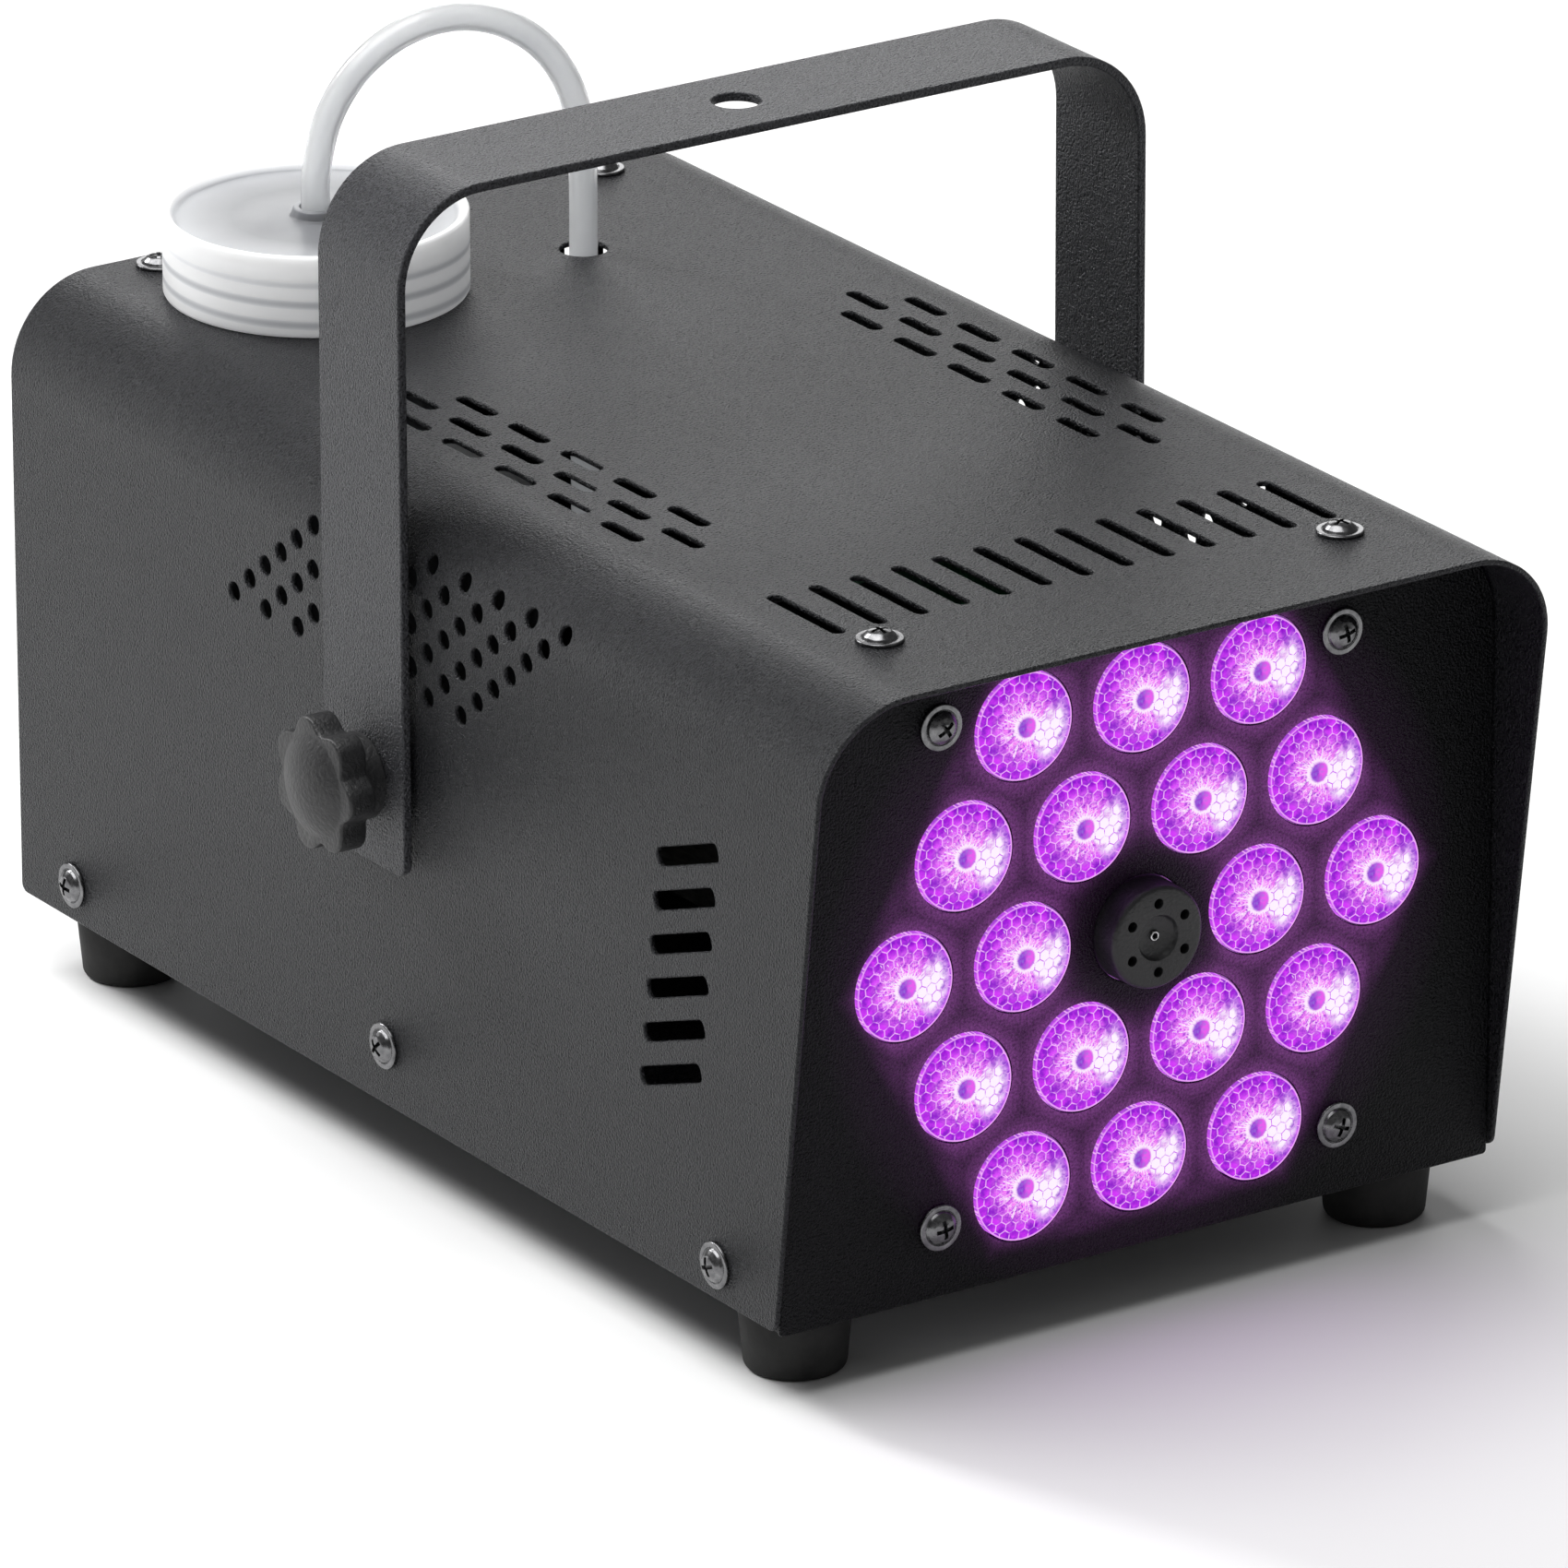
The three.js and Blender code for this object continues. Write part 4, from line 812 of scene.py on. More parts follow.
def cover():
    reach = unfold_z(cover_foot)
    steps = 10
    rear = [(reach, cover_rear), (-reach, cover_rear)]
    bend_places = [bend_middle * math.pi / 2 * k / steps for k in range(steps + 1)]
    front = [(-reach, front_edge_y(cover_foot))]
    for place in reversed(bend_places):
        z = cover_top - bend + bend * math.cos(place / bend_middle)
        front.append((-(flat_half + place), front_edge_y(z)))
    front += [(-u, y) for u, y in reversed(front)]
    corners = [2 * MM, 2 * MM, 2.5 * MM] + [0] * (len(front) - 2) + [2.5 * MM]
    outline = filleted(rear + front, corners, 5)
    bm = sheet(outline, cover_holes(), sheet_thick, edge_round, fold_cover,
               bend_cuts(flat_half, bend, sheet_thick, 16))
    add("housing_cover", bm, powder, "housing", ["cover"])


cover()

# ---------- front panel, rear panel and tray ----------
nozzle_place = Vector((0, panel_low.y, middle("nozzle").z))
lens_nodes = [f"lens_{i:02d}" for i in range(1, 19)]
lens_middles = [middle(name) for name in lens_nodes]
panel_corner = 18.4 * MM


def panel_outline(low, high):
    half, foot, top = high.x, low.z, high.z
    corners = [(half, foot), (half, top), (-half, top), (-half, foot)]
    return filleted(corners, [1 * MM, panel_corner, panel_corner, 1 * MM], 6)


def front_panel():
    holes = [circle(p.x, p.z, lens_radius + 0.3 * MM, 48) for p in lens_middles]
    holes.append(circle(0, nozzle_place.z, 11.15 * MM, 48))
    face = panel_low.y

    def fold(u, v, height):
        return Vector((u, face + sheet_thick / 2 - height, v))

    bm = sheet(panel_outline(panel_low, panel_high), holes, sheet_thick, edge_round, fold)
    add("front_sheet", bm, panel_powder_painted_shade_glow, "housing", ["front_panel"])
    flange = [(-62.7, 2.2), (62.7, 2.2), (62.7, 22), (-62.7, 22)]
    loop = filleted([(x * MM, face + y * MM) for x, y in flange], [0, 0, 4 * MM, 4 * MM])
    screws = [circle(side * column_x * MM, front_foot + 11 * MM, screw_hole) for side in (-1, 1)]
    flat = lifted(panel_high.z - sheet_thick / 2)
    add("front_sheet_flange", sheet(loop, screws, sheet_thick, edge_round, flat), powder, "housing")


def rear_panel():
    holes = []
    for node, width, height in (("mains_inlet", 28.6, 20.6), ("switch_body", 14.6, 20.6)):
        place = middle(node)
        holes.append(box_edge(-place.x, place.z, width * MM, height * MM, 1 * MM, 0))
    for node, radius in (("fuse_holder", 6.3), ("remote_socket", 11.3)):
        place = middle(node)
        holes.append(circle(-place.x, place.z, radius * MM, 40))
    holes += slot_row(rear_high.z - panel_corner, short_slot)
    face = rear_high.y

    def fold(u, v, height):
        return Vector((-u, face - sheet_thick / 2 + height, v))

    bm = sheet(panel_outline(rear_low, rear_high), holes, sheet_thick, edge_round, fold)
    add("rear_sheet", bm, powder, "housing", ["rear_panel"])
    for side in (-1, 1):
        corners = [(-8, -8.6), (8, -8.6), (8, -1.3), (-8, -1.3)]
        places = [(side * column_x * MM + x * MM, face + y * MM) for x, y in corners]
        loop = filleted(places, [2 * MM, 2 * MM, 0, 0])
        flat = lifted(rear_high.z - sheet_thick / 2)
        add("rear_sheet_tab", sheet(loop, [], sheet_thick, edge_round, flat), powder, "housing")


def tray():
    holes = slot_row(front_foot + 59.1 * MM, 25 * MM)
    for side in (-1, 1):
        holes += slot_column(side * column_x * MM, 5)
    half = tray_high.x
    radius = 2 * MM
    reach = half - radius + (radius - sheet_thick / 2) * math.pi / 2 + tray_high.z - tray_low.z - radius
    near, far = tray_low.y, tray_high.y
    outline = [(-reach, near), (reach, near), (reach, far), (-reach, far)]

    def fold(u, v, height):
        place = fold_cover(u, v, -height, half, 0, radius, sheet_thick)
        return Vector((place.x, place.y, tray_low.z - place.z))

    cuts = bend_cuts(half - radius, radius, sheet_thick, 5)
    bm = sheet(outline, holes, sheet_thick, edge_round, fold, cuts)
    add("tray_sheet", bm, powder, "housing", ["base_tray"])


front_panel()
rear_panel()
tray()


# ---------- lenses ----------
lens_face = lens_radius - 0.35 * MM
heart_radius = 2.6 * MM


def lens_height(x, y, bump):
    """How far the lens's face stands ahead of its rim: a low dome with a raised cell here and there."""
    share = math.hypot(x, y) / lens_face
    return 0.2 * MM + 0.7 * MM * (1 - share * share) + bump


def lens_mesh():
    """A low dome of hexagonal cells, each a small dome of its own, round a smooth heart."""
    rim_count, heart_count = 96, 36
    points, heights, borders = [], [], []

    def put(x, y, bump):
        points.append(Vector((x, y)))
        heights.append(lens_height(x, y, bump))
        return len(points) - 1

    rim = [put(*polar(lens_face, a), 0) for a in around(rim_count)]
    edges = [(rim[i], rim[(i + 1) % rim_count]) for i in range(rim_count)]
    for radius, bump in ((heart_radius, 0.0), (heart_radius * 0.8, 0.28 * MM)):
        ring = [put(*polar(radius, a), bump) for a in around(heart_count)]
        edges += [(ring[i], ring[(i + 1) % heart_count]) for i in range(heart_count)]
    for radius, bump in ((heart_radius * 0.45, 0.32 * MM), (0, 0.1 * MM)):
        for a in around(12 if radius else 1):
            put(*polar(radius, a), bump)
    first_border = len(edges)
    corner_at = {}
    reach = int(lens_radius / cell_pitch) + 2
    for i in range(-reach, reach + 1):
        for j in range(-reach, reach + 1):
            cx = cell_pitch * (i + j / 2)
            cy = cell_pitch * j * math.sqrt(3) / 2
            middle_reach = math.hypot(cx, cy)
            if middle_reach > lens_face + cell_pitch:
                continue
            corners = []
            for k in range(6):
                a = math.pi / 6 + k * math.pi / 3
                x = cx + cell_pitch / math.sqrt(3) * math.cos(a)
                y = cy + cell_pitch / math.sqrt(3) * math.sin(a)
                key = (round(x / (0.05 * MM)), round(y / (0.05 * MM)))
                corner_at.setdefault(key, (x, y))
                corners.append(key)
            for k in range(6):
                a, b = corner_at[corners[k]], corner_at[corners[(k + 1) % 6]]
                borders.append((a, b))
            for radius, bump in ((0.52, 0.16 * MM), (0, 0.22 * MM)):
                for k in range(6 if radius else 1):
                    a = math.pi / 6 + k * math.pi / 3
                    x = cx + radius * cell_pitch / math.sqrt(3) * math.cos(a)
                    y = cy + radius * cell_pitch / math.sqrt(3) * math.sin(a)
                    if heart_radius + 0.2 * MM < math.hypot(x, y) < lens_face - 0.1 * MM:
                        put(x, y, bump)
    done = {}
    for a, b in borders:
        ends = tuple(sorted((a, b)))
        if ends in done:
            continue
        done[ends] = True
        radii = [math.hypot(*a), math.hypot(*b)]
        if min(radii) < heart_radius + 0.15 * MM or max(radii) > lens_face - 0.05 * MM:
            a, b = clipped(a, b, heart_radius + 0.15 * MM, lens_face - 0.05 * MM)
            if a is None:
                continue
        edges.append((put(*a, 0), put(*b, 0)))
    flat, links, faces, sources, edge_sources, _ = delaunay_2d_cdt(points, edges, [], 1, 1e-7)
    bm = bmesh.new()
    verts = []
    for place, own in zip(flat, sources):
        height = heights[own[0]] if own else lens_height(place.x, place.y, 0)
        verts.append(bm.verts.new((place.x, place.y, height)))
    for face in faces:
        bm.faces.new([verts[i] for i in face])
    bm.edges.ensure_lookup_table()
    for (a, b), own in zip(links, edge_sources):
        if any(k >= first_border for k in own):
            edge = bm.edges.get((verts[a], verts[b]))
            if edge:
                edge.smooth = False
    rings = [verts[:rim_count]]
    for inset, height in ((0.1, 0.35), (0, 0.1), (0, -2.5)):
        radius, height = lens_radius - inset * MM, height * MM
        rings.append([
            bm.verts.new((*polar(radius, a), height))
            for a in around(rim_count)
        ])
    for upper, lower in zip(rings, rings[1:]):
        for i in range(rim_count):
            j = (i + 1) % rim_count
            bm.faces.new((upper[i], lower[i], lower[j], upper[j]))
    bm.faces.new(list(reversed(rings[-1])))
    bm.normal_update()
    mesh = bpy.data.meshes.new("lens_cells")
    bm.to_mesh(mesh)
    bm.free()
    return mesh


def clipped(a, b, low, high):
    """The part of a segment between two radii."""
    start, step = Vector(a), Vector(b) - Vector(a)
    inside_steps = [k / 20 for k in range(21) if low < (start + step * (k / 20)).length < high]
    if len(inside_steps) < 3:
        return None, None
    return tuple(start + step * inside_steps[0]), tuple(start + step * inside_steps[-1])


def lenses():
    mesh = lens_mesh()
    for i, (name, place) in enumerate(zip(lens_nodes, lens_middles)):
        turn = Matrix.Rotation(math.radians(((i * 7) % 5 - 2) * 3), 4, "Z")
        matrix = Matrix.Translation((place.x, panel_low.y, place.z)) @ upright @ turn
        add_mesh(f"led_{name}", mesh, violet, "housing", [name], matrix, weighted=False)


lenses()


# ---------- nozzle ----------
def carved(bm, cutters, sharp):
    """The mesh of a bmesh with cutters taken out of it, its edges sharp above an angle in degrees."""
    def loose(source):
        bmesh.ops.recalc_face_normals(source, faces=source.faces)
        mesh = bpy.data.meshes.new("rough")
        source.to_mesh(mesh)
        source.free()
        piece = bpy.data.objects.new("rough", mesh)
        scene.collection.objects.link(piece)
        return piece

    body = loose(bm)
    others = [loose(cutter) for cutter in cutters]
    for other in others:
        modifier = body.modifiers.new("cut", "BOOLEAN")
        modifier.object = other
        modifier.operation = "DIFFERENCE"
        modifier.solver = "EXACT"
    shape = body.evaluated_get(bpy.context.evaluated_depsgraph_get())
    mesh = bpy.data.meshes.new_from_object(shape)
    for piece in [body, *others]:
        bpy.data.objects.remove(piece)
    mesh.shade_smooth()
    mesh.set_sharp_from_angle(angle=math.radians(sharp))
    return mesh


def add_carved(name, bm, cutters, sharp, material, body, nodes=(), matrix=None):
    """Adds a bmesh with cutters taken out of it."""
    add_mesh(name, carved(bm, cutters, sharp), material, body, nodes, matrix, weighted=False)


def rod_between(x, y, radius, low, high, steps=24):
    """A plain rod along Z as a bmesh."""
    bm = lathe([(0, low), (radius, low), (radius, high), (0, high)], steps)
    bmesh.ops.translate(bm, verts=bm.verts, vec=(x, y, 0))
    return bm


def brick(*sides):
    """A block as a bmesh, from its low and high x, y and z in millimetres."""
    bm = bmesh.new()
    bmesh.ops.create_cube(bm, size=1)
    for vert in bm.verts:
        vert.co = [sides[2 * i + (vert.co[i] >= 0)] * MM for i in range(3)]
    return bm


def rounded_profile(points, radius, steps=4):
    """A lathe's profile with its corners rounded, given in millimetres."""
    return filleted([(r * MM, z * MM) for r, z in points], [v * MM for v in radius], steps, closed=False)


def nozzle():
    body = lathe(rounded_profile(
        [(0, -3), (11, -3), (10.8, 6.2), (4.75, 6.2), (4.3, 5.1), (1.2, 4.5), (0.95, 4.9), (0.6, 4.9),
         (0.55, 2.6), (0, 2.6)],
        [0, 0, 1.2, 0.25, 0.8, 0.15, 0.12, 0.12, 0, 0]), 72)
    drills = [
        rod_between(*polar(7.2 * MM, a), 1.1 * MM, 2.8 * MM, 9 * MM)
        for a in (math.pi / 6 + k * math.pi / 3 for k in range(6))
    ]
    matrix = Matrix.Translation(nozzle_place) @ upright
    add_carved("fog_nozzle", body, drills, 32, nozzle_black, "housing", ["nozzle"], matrix)
    edges = [(1.02, 4.85), (1.02, 5.02), (0.62, 5.02), (0.62, 4.85)]
    ring = lathe([(r * MM, z * MM) for r, z in edges], 32, closed=True)
    add("nozzle_orifice_ring", ring, bright_steel, "housing", matrix=matrix, weighted=False)


nozzle()


# ---------- screws ----------
def screw_mesh():
    """A washer-headed cross-recess screw: a flat flange, a groove and a polished dome."""
    body = lathe(rounded_profile(
        [(0, -3), (1.9, -3), (1.9, 0), (4.85, 0), (4.85, 0.75), (3.75, 0.75), (3.6, 0.55), (3.3, 1.15),
         (2.3, 2.0), (1.1, 2.35), (0, 2.42)],
        [0, 0, 0, 0.2, 0.3, 0.08, 0.05, 0.6, 1.5, 1.0, 0]), 56)
    cutters = []
    for turn in (0, math.pi / 2):
        outline = [(-2.15, 3), (2.15, 3), (1.8, 1.25), (0.85, 0.5), (-0.85, 0.5), (-1.8, 1.25)]
        blade = stack([[(x * MM, y * MM, z * MM) for x, z in outline] for y in (-0.42, 0.42)])
        bmesh.ops.rotate(blade, verts=blade.verts, cent=(0, 0, 0), matrix=Matrix.Rotation(turn, 3, "Z"))
        cutters.append(blade)
    return carved(body, cutters, 38)


def screws():
    mesh = screw_mesh()

    def put(name, place, way, turn, nodes=()):
        matrix = facing(way, place) @ Matrix.Rotation(math.radians(turn), 4, "Z")
        add_mesh(name, mesh, screw_steel, "housing", nodes, matrix, weighted=False)

    turns = [8, 35, -20, 14]
    for i in range(4):
        node = f"panel_screw_{i + 1}"
        place = middle(node)
        put(f"front_screw_{i + 1}", (place.x, panel_low.y, place.z), front_way, turns[i], [node])
        node = f"cover_screw_{i + 1}"
        place = middle(node)
        put(f"top_screw_{i + 1}", (place.x, place.y, cover_top), up_way, turns[i] - 9, [node])
    side_places = [(20.9, 23.9), (142.7, 29.4), (264.8, 24.5)]
    for side in (-1, 1):
        for i, (y, z) in enumerate(side_places):
            place = (side * half_width, front_foot + y * MM, z * MM)
            put(f"side_screw_{side}_{i}", place, (side, 0, 0), turns[i] + 12)


screws()


# ---------- bracket, knobs and spacers ----------
bracket_low, bracket_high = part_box("bracket")
bracket_thick = 2 * MM


def bracket():
    half, top, radius = bracket_high.x, bracket_high.z, 20 * MM
    mid = radius - bracket_thick / 2
    reach = half - radius + mid * math.pi / 2 + (top - radius - bracket_low.z)
    wide = (bracket_high.y - bracket_low.y) / 2
    stud = half - radius + mid * math.pi / 2 + (top - radius - pivot.z)
    outline = filleted([(reach, wide), (-reach, wide), (-reach, -wide), (reach, -wide)], 3 * MM, 5)
    holes = [circle(0, 0, 5 * MM, 40), circle(stud, 0, stud_hole), circle(-stud, 0, stud_hole)]

    def fold(u, v, height):
        place = fold_cover(u, v, height, half, top, radius, bracket_thick)
        return Vector((place.x, place.y + pivot.y, place.z))

    cuts = bend_cuts(half - radius, radius, bracket_thick, 18)
    bm = sheet(outline, holes, bracket_thick, 0.45 * MM, fold, cuts)
    add("bracket_strip", bm, bracket_powder_painted_lighter, "bracket", ["bracket"])


def knob_mesh():
    """A seven-lobed star on a hub, with a stud through it and a domed pad on its face."""
    def star(shrink, height):
        out = []
        for a in around(140):
            wave = math.cos(7 * a)
            radius = (13.45 + 1.25 * wave - 0.28 * wave * wave) * MM - shrink
            out.append((*polar(radius, a), height))
        return out

    def ring(radius, height):
        return [(*polar(radius, a), height) for a in around(140)]

    low, high = 5.7 * MM, 12 * MM
    edge = 0.7 * MM
    quarter = [math.pi / 2 * k / 4 for k in range(5)]
    loops = [ring(3 * MM, -11 * MM), ring(3 * MM, 0.3 * MM), ring(9 * MM, 0.3 * MM), ring(9 * MM, low)]
    loops += [star(edge * (1 - math.sin(a)), low + edge * (1 - math.cos(a))) for a in quarter]
    loops += [star(edge * (1 - math.cos(a)), high - edge * (1 - math.sin(a))) for a in quarter]
    pad = 10.6 * MM
    loops += [ring(pad + 0.35 * MM, high), ring(pad, high + 0.12 * MM)]
    for share in (0.93, 0.84, 0.72, 0.58, 0.42, 0.26, 0.12):
        loops.append(ring(pad * share, high + 0.12 * MM + 3.1 * MM * (1 - share ** 2.2)))
    bm = stack(loops)
    mesh = bpy.data.meshes.new("star_knob")
    bm.to_mesh(mesh)
    bm.free()
    mesh.shade_smooth()
    mesh.set_sharp_from_angle(angle=math.radians(40))
    return mesh


def knobs():
    mesh = knob_mesh()
    for side, name in ((-1, "left"), (1, "right")):
        node = f"{name}_knob"
        place = Vector((side * (bracket_high.x + 0.1 * MM), pivot.y, pivot.z))
        turn = Matrix.Rotation(math.radians(12 if side < 0 else 0), 4, "Z")
        add_mesh(f"{name}_star_knob", mesh, knob_plastic, node, [node],
                 facing((side, 0, 0), place) @ turn, weighted=False)
        profile = [(3.3, 0.1), (9.7, 0.1), (10, 0.3), (10, 1.2), (9.7, 1.4), (3.3, 1.4)]
        spacer = lathe([(r * MM, z * MM) for r, z in profile], 48, closed=True)
        add(f"{name}_washer", spacer, moulded, "housing", [f"{name}_spacer"],
            facing((side, 0, 0), (side * half_width, pivot.y, pivot.z)))


bracket()
knobs()


# ---------- feet ----------
def feet():
    profile = rounded_profile(
        [(0, 6), (4.5, 6), (4.5, 0), (10.25, 0), (11.65, 14.9), (0, 14.9)], [0, 0.4, 0.5, 1.6, 0.3, 0], 5)
    dish = rounded_profile(
        [(0, 4.6), (1.2, 4.6), (1.5, 3.9), (3.4, 4.2), (3.7, 5.9), (0, 5.9)], [0, 0, 0.2, 0.5, 0, 0])
    for corner in ("front_left", "front_right", "rear_left", "rear_right"):
        name = f"foot_{corner}"
        matrix = Matrix.Translation(standing(name))
        add_carved(f"rubber_{name}", lathe(profile, 56), [], 50, rubber, "housing", [name],
                   matrix)
        add_carved(f"foot_screw_{corner}", lathe(dish, 32), [], 40, screw_steel, "housing", matrix=matrix)


feet()


# ---------- tank, cap and neck ----------
def cap():
    r, h = cap_radius / MM, cap_height / MM
    plate = h - 1.5
    body = lathe(rounded_profile([
        (r - 2.2, 0), (r - 0.3, 0), (r, 0.5), (r, h), (r - 1.6, h), (r - 2.6, plate), (5.2, plate),
        (4.6, h + 0.5), (3.35, h + 0.5), (3.35, plate - 1.8), (r - 2.2, plate - 1.8), (r - 2.2, 0)],
        [0, 0.1, 0.3, 0.6, 0.5, 1.2, 0.6, 0.5, 0.2, 0, 0.3, 0], 5), 96)
    add_carved("bottle_cap", body, [], 50, milky_cap_painted_shade_glow, "tank_cap", ["tank_cap"],
               Matrix.Translation(standing("tank_cap", cap_low.z)))


def threads(radius, low, high, turns, rise, deep, steps=72):
    """A helical ridge on the outside of a neck, tapering away at both ends."""
    bm = bmesh.new()
    count = int(turns * steps)
    rings = []
    for k in range(count + 1):
        a = TAU * k / steps
        fade = min(1, k / 8, (count - k) / 8)
        z = low + (high - low) * k / count
        out = deep * fade
        shape = [(0, -rise), (out, -0.35 * rise), (out, 0.35 * rise), (0, rise), (-0.3 * MM, 0)]
        rings.append([bm.verts.new((*polar(radius + u, a), z + v)) for u, v in shape])
    for first, second in zip(rings, rings[1:]):
        for i in range(5):
            j = (i + 1) % 5
            bm.faces.new((first[i], second[i], second[j], first[j]))
    bm.faces.new(list(reversed(rings[0])))
    bm.faces.new(rings[-1])
    bmesh.ops.recalc_face_normals(bm, faces=bm.faces)
    return bm


def tank():
    matrix = Matrix.Translation(standing("tank"))
    wide, long = (tank_high.x - tank_low.x) / 2, (tank_high.y - tank_low.y) / 2
    foot, neck_top = tank_low.z, tank_high.z
    shoulder = foot + 92 * MM
    count = 24

    def loop(shrink, z):
        w, d = wide - shrink, long - shrink
        corner = max(10 * MM - shrink * 0.6, 3 * MM)
        flat = filleted([(w, -d), (w, d), (-w, d), (-w, -d)], corner, count - 1)
        return [(x, y, z) for x, y in flat]

    def neck(radius, z):
        flat = loop(0, z)
        return [(*polar(radius, math.atan2(y, x)), z) for x, y, _ in flat]

    outer = [loop(3 * MM, foot), loop(0.8 * MM, foot + 0.8 * MM), loop(0, foot + 3 * MM),
             loop(0, shoulder - 5 * MM), loop(1.2 * MM, shoulder - 1.4 * MM)]
    neck_radius = 25.4 * MM
    outer += [neck(neck_radius + 0.9 * MM, shoulder), neck(neck_radius, shoulder + 1 * MM),
              neck(neck_radius, neck_top)]
    inner = [neck(neck_radius - 2.2 * MM, neck_top), neck(neck_radius - 2.2 * MM, shoulder - 1 * MM),
             loop(3 * MM, shoulder - 3 * MM), loop(2 * MM, shoulder - 6 * MM), loop(2 * MM, foot + 4 * MM),
             loop(4 * MM, foot + 2 * MM)]
    bm = stack(outer + inner)
    add_carved("fluid_tank", bm, [], 40, milky_tank, "housing", ["tank"], matrix)
    ridge = threads(neck_radius, cap_low.z - 1 * MM, neck_top - 2.2 * MM, 2.9, 1.25 * MM, 1.7 * MM)
    add("neck_thread", ridge, milky_thread, "housing", matrix=matrix)


tank()
cap()


# ---------- rear fittings ----------
def on_rear(node):
    """The matrix of a fitting on the rear panel, its local +Z to the rear."""
    place = middle(node)
    return Matrix.Translation((place.x, rear_high.y, place.z)) @ upright_rear


def plate_with_hole(name, node, size, hole, corner, hole_corner, low, high, extra=()):
    """A moulded flange with a round-cornered mouth, its face at high from the rear panel's."""
    outline = box_edge(0, 0, size[0] * MM, size[1] * MM, corner * MM, 0, 5)[::-1]
    mouth = box_edge(0, 0, hole[0] * MM, hole[1] * MM, hole_corner * MM, 0, 6)
    thick = (high - low) * MM
    bm = sheet(outline, [mouth, *extra], thick, 0.4 * MM, lifted(low * MM + thick / 2))
    add(name, bm, moulded, "housing", [node], on_rear(node))


def well(name, size, corner, low, high, matrix, thick=1.2):
    """The open box behind a mouth."""
    def loop(grow, z):
        wide, tall = ((length + 2 * grow) * MM for length in size)
        flat = box_edge(0, 0, wide, tall, (corner + grow) * MM, 0, 6)
        return [(x, y, z * MM) for x, y in flat[::-1]]

    bm = stack([loop(0, low), loop(0, high), loop(thick, high), loop(thick, low - thick)])
    add_carved(name, bm, [], 40, moulded, "housing", matrix=matrix)


def rear_fittings():
    ears = [circle(side * 20 * MM, 0, 1.7 * MM, 24) for side in (-1, 1)]
    plate_with_hole("inlet_flange", "mains_inlet", (48, 24), (24.4, 16.4), 2.5, 3, 0.1, 2.4, ears)
    matrix = on_rear("mains_inlet")
    well("inlet_well", (24.4, 16.4), 3, -15.5, 1.6, matrix)
    for x, y in ((-7, -2), (0, 2), (7, -2)):
        pin = brick(x - 1, x + 1, y - 2, y + 2, -15.5, -3)
        bmesh.ops.bevel(pin, geom=pin.edges[:], offset=0.3 * MM, segments=2, affect="EDGES")
        add("inlet_pin", pin, bright_steel, "housing", matrix=matrix)
    for side in (-1, 1):
        profile = rounded_profile(
            [(0, 0.8), (1.6, 0.8), (2.9, 2.4), (2.9, 2.7), (0, 3.0)], [0, 0, 0.2, 0.2, 0])
        blades = [brick(-1.5, 1.5, -0.3, 0.3, 2.1, 4), brick(-0.3, 0.3, -1.5, 1.5, 2.1, 4)]
        add_carved("inlet_screw", lathe(profile, 28), blades, 35, screw_steel, "housing",
                   matrix=matrix @ Matrix.Translation((side * 20 * MM, 0, 0)))
    plate_with_hole("switch_frame", "switch_body", (18, 24), (11.4, 17.4), 2, 1, 0.1, 2.4)
    well("switch_well", (11.4, 17.4), 1, -12, 1.6, on_rear("switch_body"))
    matrix = on_rear("fuse_holder")
    holder = lathe(rounded_profile([
        (5.6, -10), (6, -10), (6, 0.1), (7.9, 0.1), (7.9, 2.4), (6.1, 2.4), (5.9, 1.2), (5.6, 1.2)],
        [0, 0, 0, 0.2, 0.4, 0.3, 0, 0]), 56, closed=True)
    add_carved("fuse_collar", holder, [], 35, moulded, "housing", ["fuse_holder"], matrix)
    fuse = lathe(rounded_profile(
        [(0, -8), (4.2, -8), (4.2, 1.3), (5.5, 1.4), (5.3, 7.6), (0, 7.6)], [0, 0, 0, 0.2, 0.6, 0]), 56)
    slot = brick(-4, 4, -0.7, 0.7, 6.4, 9)
    add_carved("fuse_knob", fuse, [slot], 35, moulded, "fuse_cap", ["fuse_cap"], matrix)
    matrix = on_rear("remote_socket")
    half = 13 * MM
    flange = filleted([(half, -half), (half, half), (-half, half), (-half, -half)], 3 * MM, 5)
    corner_holes = [circle(sx * 9.8 * MM, sy * 9.8 * MM, 1.4 * MM, 20) for sx in (-1, 1) for sy in (-1, 1)]
    bm = sheet(flange, [circle(0, 0, 8.5 * MM, 56), *corner_holes], 2.3 * MM, 0.4 * MM, lifted(1.25 * MM))
    add("socket_flange", bm, moulded, "housing", ["remote_socket"], matrix)
    cup = lathe(rounded_profile([
        (8.5, 1.5), (8.5, -15), (0, -15), (0, -16.5), (11, -16.5), (11, 0), (8.7, 0)],
        [0, 0.6, 0, 0, 0.5, 0, 0]), 56)
    add_carved("socket_cup", cup, [], 35, moulded, "housing", matrix=matrix)
    for i in range(5):
        a = math.pi + i * math.pi / 4
        pin = rod_between(*polar(5.5 * MM, a), 1 * MM, -15 * MM, -4 * MM, 20)
        add_carved("socket_pin", pin, [], 40, bright_steel, "housing", matrix=matrix)


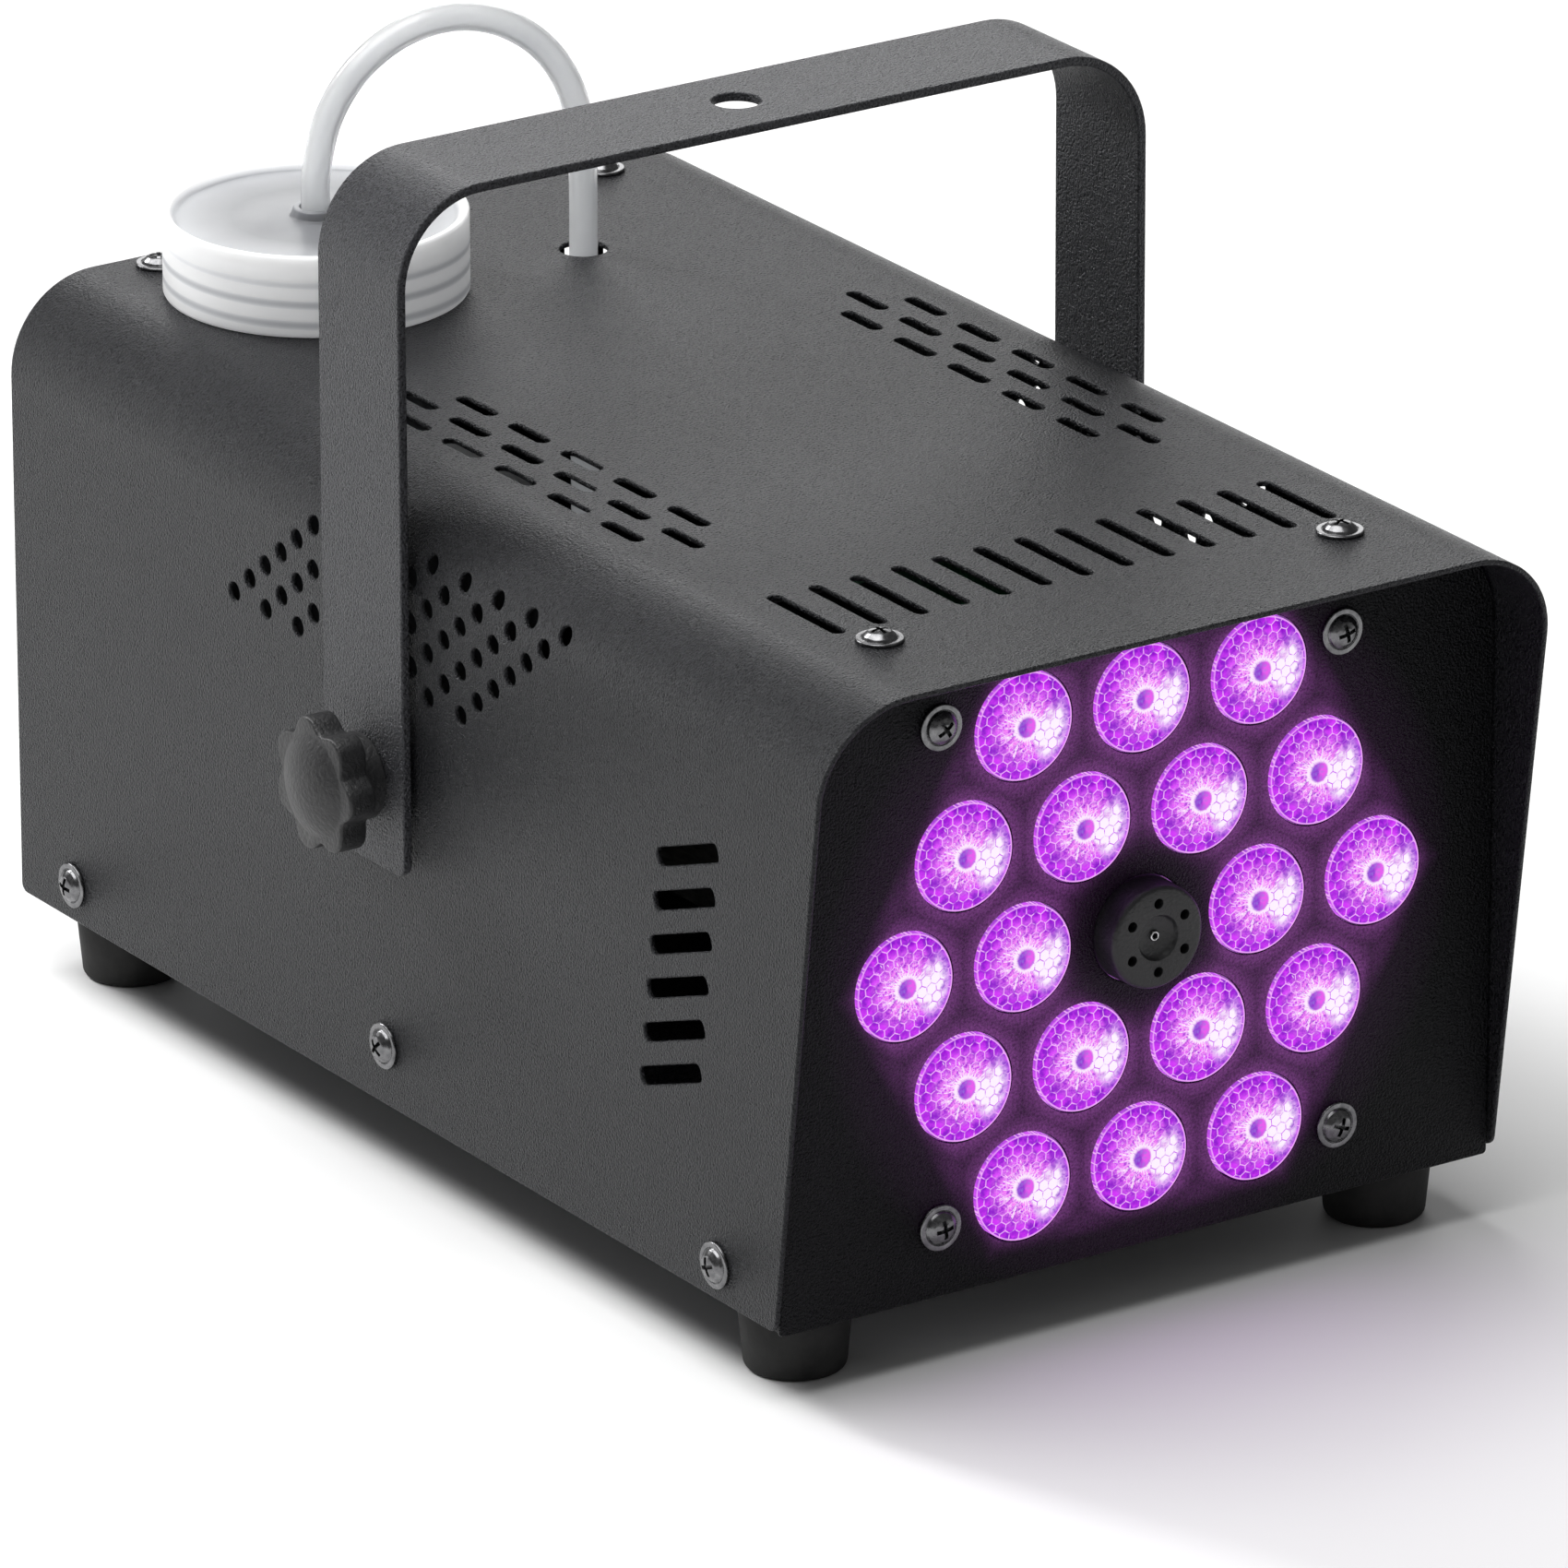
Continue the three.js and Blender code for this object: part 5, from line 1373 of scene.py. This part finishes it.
def rocker():
    """The mains rocker, drawn level about its pin and then laid over as the switch lies when on."""
    pin = Vector(joints["power_rocker_tilt"]["pos_m"])
    half, face = 7.55, 6.1
    profile = filleted([
        (-6, -2.5), (-1, -half), (face - 0.9, -half), (face - 2.0, 0), (face - 0.9, half), (-1, half),
        (-6, 2.5),
    ], [0.5, 0.5, 0.7, 9, 0.7, 0.5, 0.5], 6)
    loops = []
    for x, shrink in ((-5.15, 0.35), (-5.0, 0.1), (-4.8, 0), (4.8, 0), (5.0, 0.1), (5.15, 0.35)):
        loops.append([(x * MM, y * (1 - shrink / 7) * MM, z * (1 - shrink / 7) * MM) for y, z in profile])
    bm = stack(loops)
    mark = brick(-0.4, 0.4, face - 1.3, face + 1, 3.4, 6.0)
    ring_cut = lathe([(1.1 * MM, 0), (1.1 * MM, 6 * MM), (1.7 * MM, 6 * MM), (1.7 * MM, 0)], 28, closed=True)
    laid = Matrix.Rotation(-math.pi / 2, 3, "X")
    bmesh.ops.rotate(ring_cut, verts=ring_cut.verts, cent=(0, 0, 0), matrix=laid)
    bmesh.ops.translate(ring_cut, verts=ring_cut.verts, vec=(0, (face - 1.55) * MM, -4.6 * MM))
    matrix = Matrix.Translation(pin) @ Matrix.Rotation(math.radians(7), 4, "X")
    add_carved("mains_rocker", bm, [mark, ring_cut], 30, moulded, "power_rocker", ["power_rocker"],
               matrix)


rear_fittings()
rocker()

# ---------- the pieces inside keep the frame's shapes ----------
inner_materials = {
    "led_board": board_white,
    "control_board": board_green,
    "heater_block": aluminium,
    "heater_jacket": insulation,
    "thermostat": bright_steel,
    "outlet_pipe": brass,
    "supply_pipe": copper,
    "pump_body": moulded,
    "pump_piston": bright_steel,
    "pump_cradle": rubber,
    "tube_weight": bright_steel,
}
for node, material in inner_materials.items():
    mesh = frame["nodes"][node].data
    mesh.materials.clear()
    mesh.materials.append(material)

# ---------- stage ----------
floor_bm = bmesh.new()
bmesh.ops.create_grid(floor_bm, x_segments=1, y_segments=1, size=12)
floor_mesh = bpy.data.meshes.new("floor")
floor_bm.to_mesh(floor_mesh)
floor_bm.free()
floor_mesh.materials.append(paper_floor())
floor = bpy.data.objects.new("floor", floor_mesh)
scene.collection.objects.link(floor)


def softbox(name, place, aim, size, watts):
    light = bpy.data.lights.new(name, "AREA")
    light.shape = "RECTANGLE"
    light.size, light.size_y = size
    light.energy = watts
    lamp = bpy.data.objects.new(name, light)
    scene.collection.objects.link(lamp)
    lamp.location = place
    lamp.rotation_euler = (Vector(aim) - Vector(place)).to_track_quat("-Z", "Y").to_euler()


softbox("top", (-0.6, 0.2, 2.4), (0, 0, 0.1), (2.4, 2.0), 68)
softbox("rear_right", (1.5, 2.2, 1.05), (0, 0, 0.12), (1.7, 1.3), 18)
softbox("rear_left", (-0.85, 2.3, 1.75), (0, 0, 0.12), (0.5, 0.9), 44)
softbox("low_left", (-2.0, 2.4, 0.35), (0, 0, 0.12), (0.8, 0.6), 5)
world = bpy.data.worlds.new("studio")
world.use_nodes = True
world.node_tree.nodes["Background"].inputs["Color"].default_value = (1, 1, 1, 1)
world.node_tree.nodes["Background"].inputs["Strength"].default_value = 0.14
scene.world = world
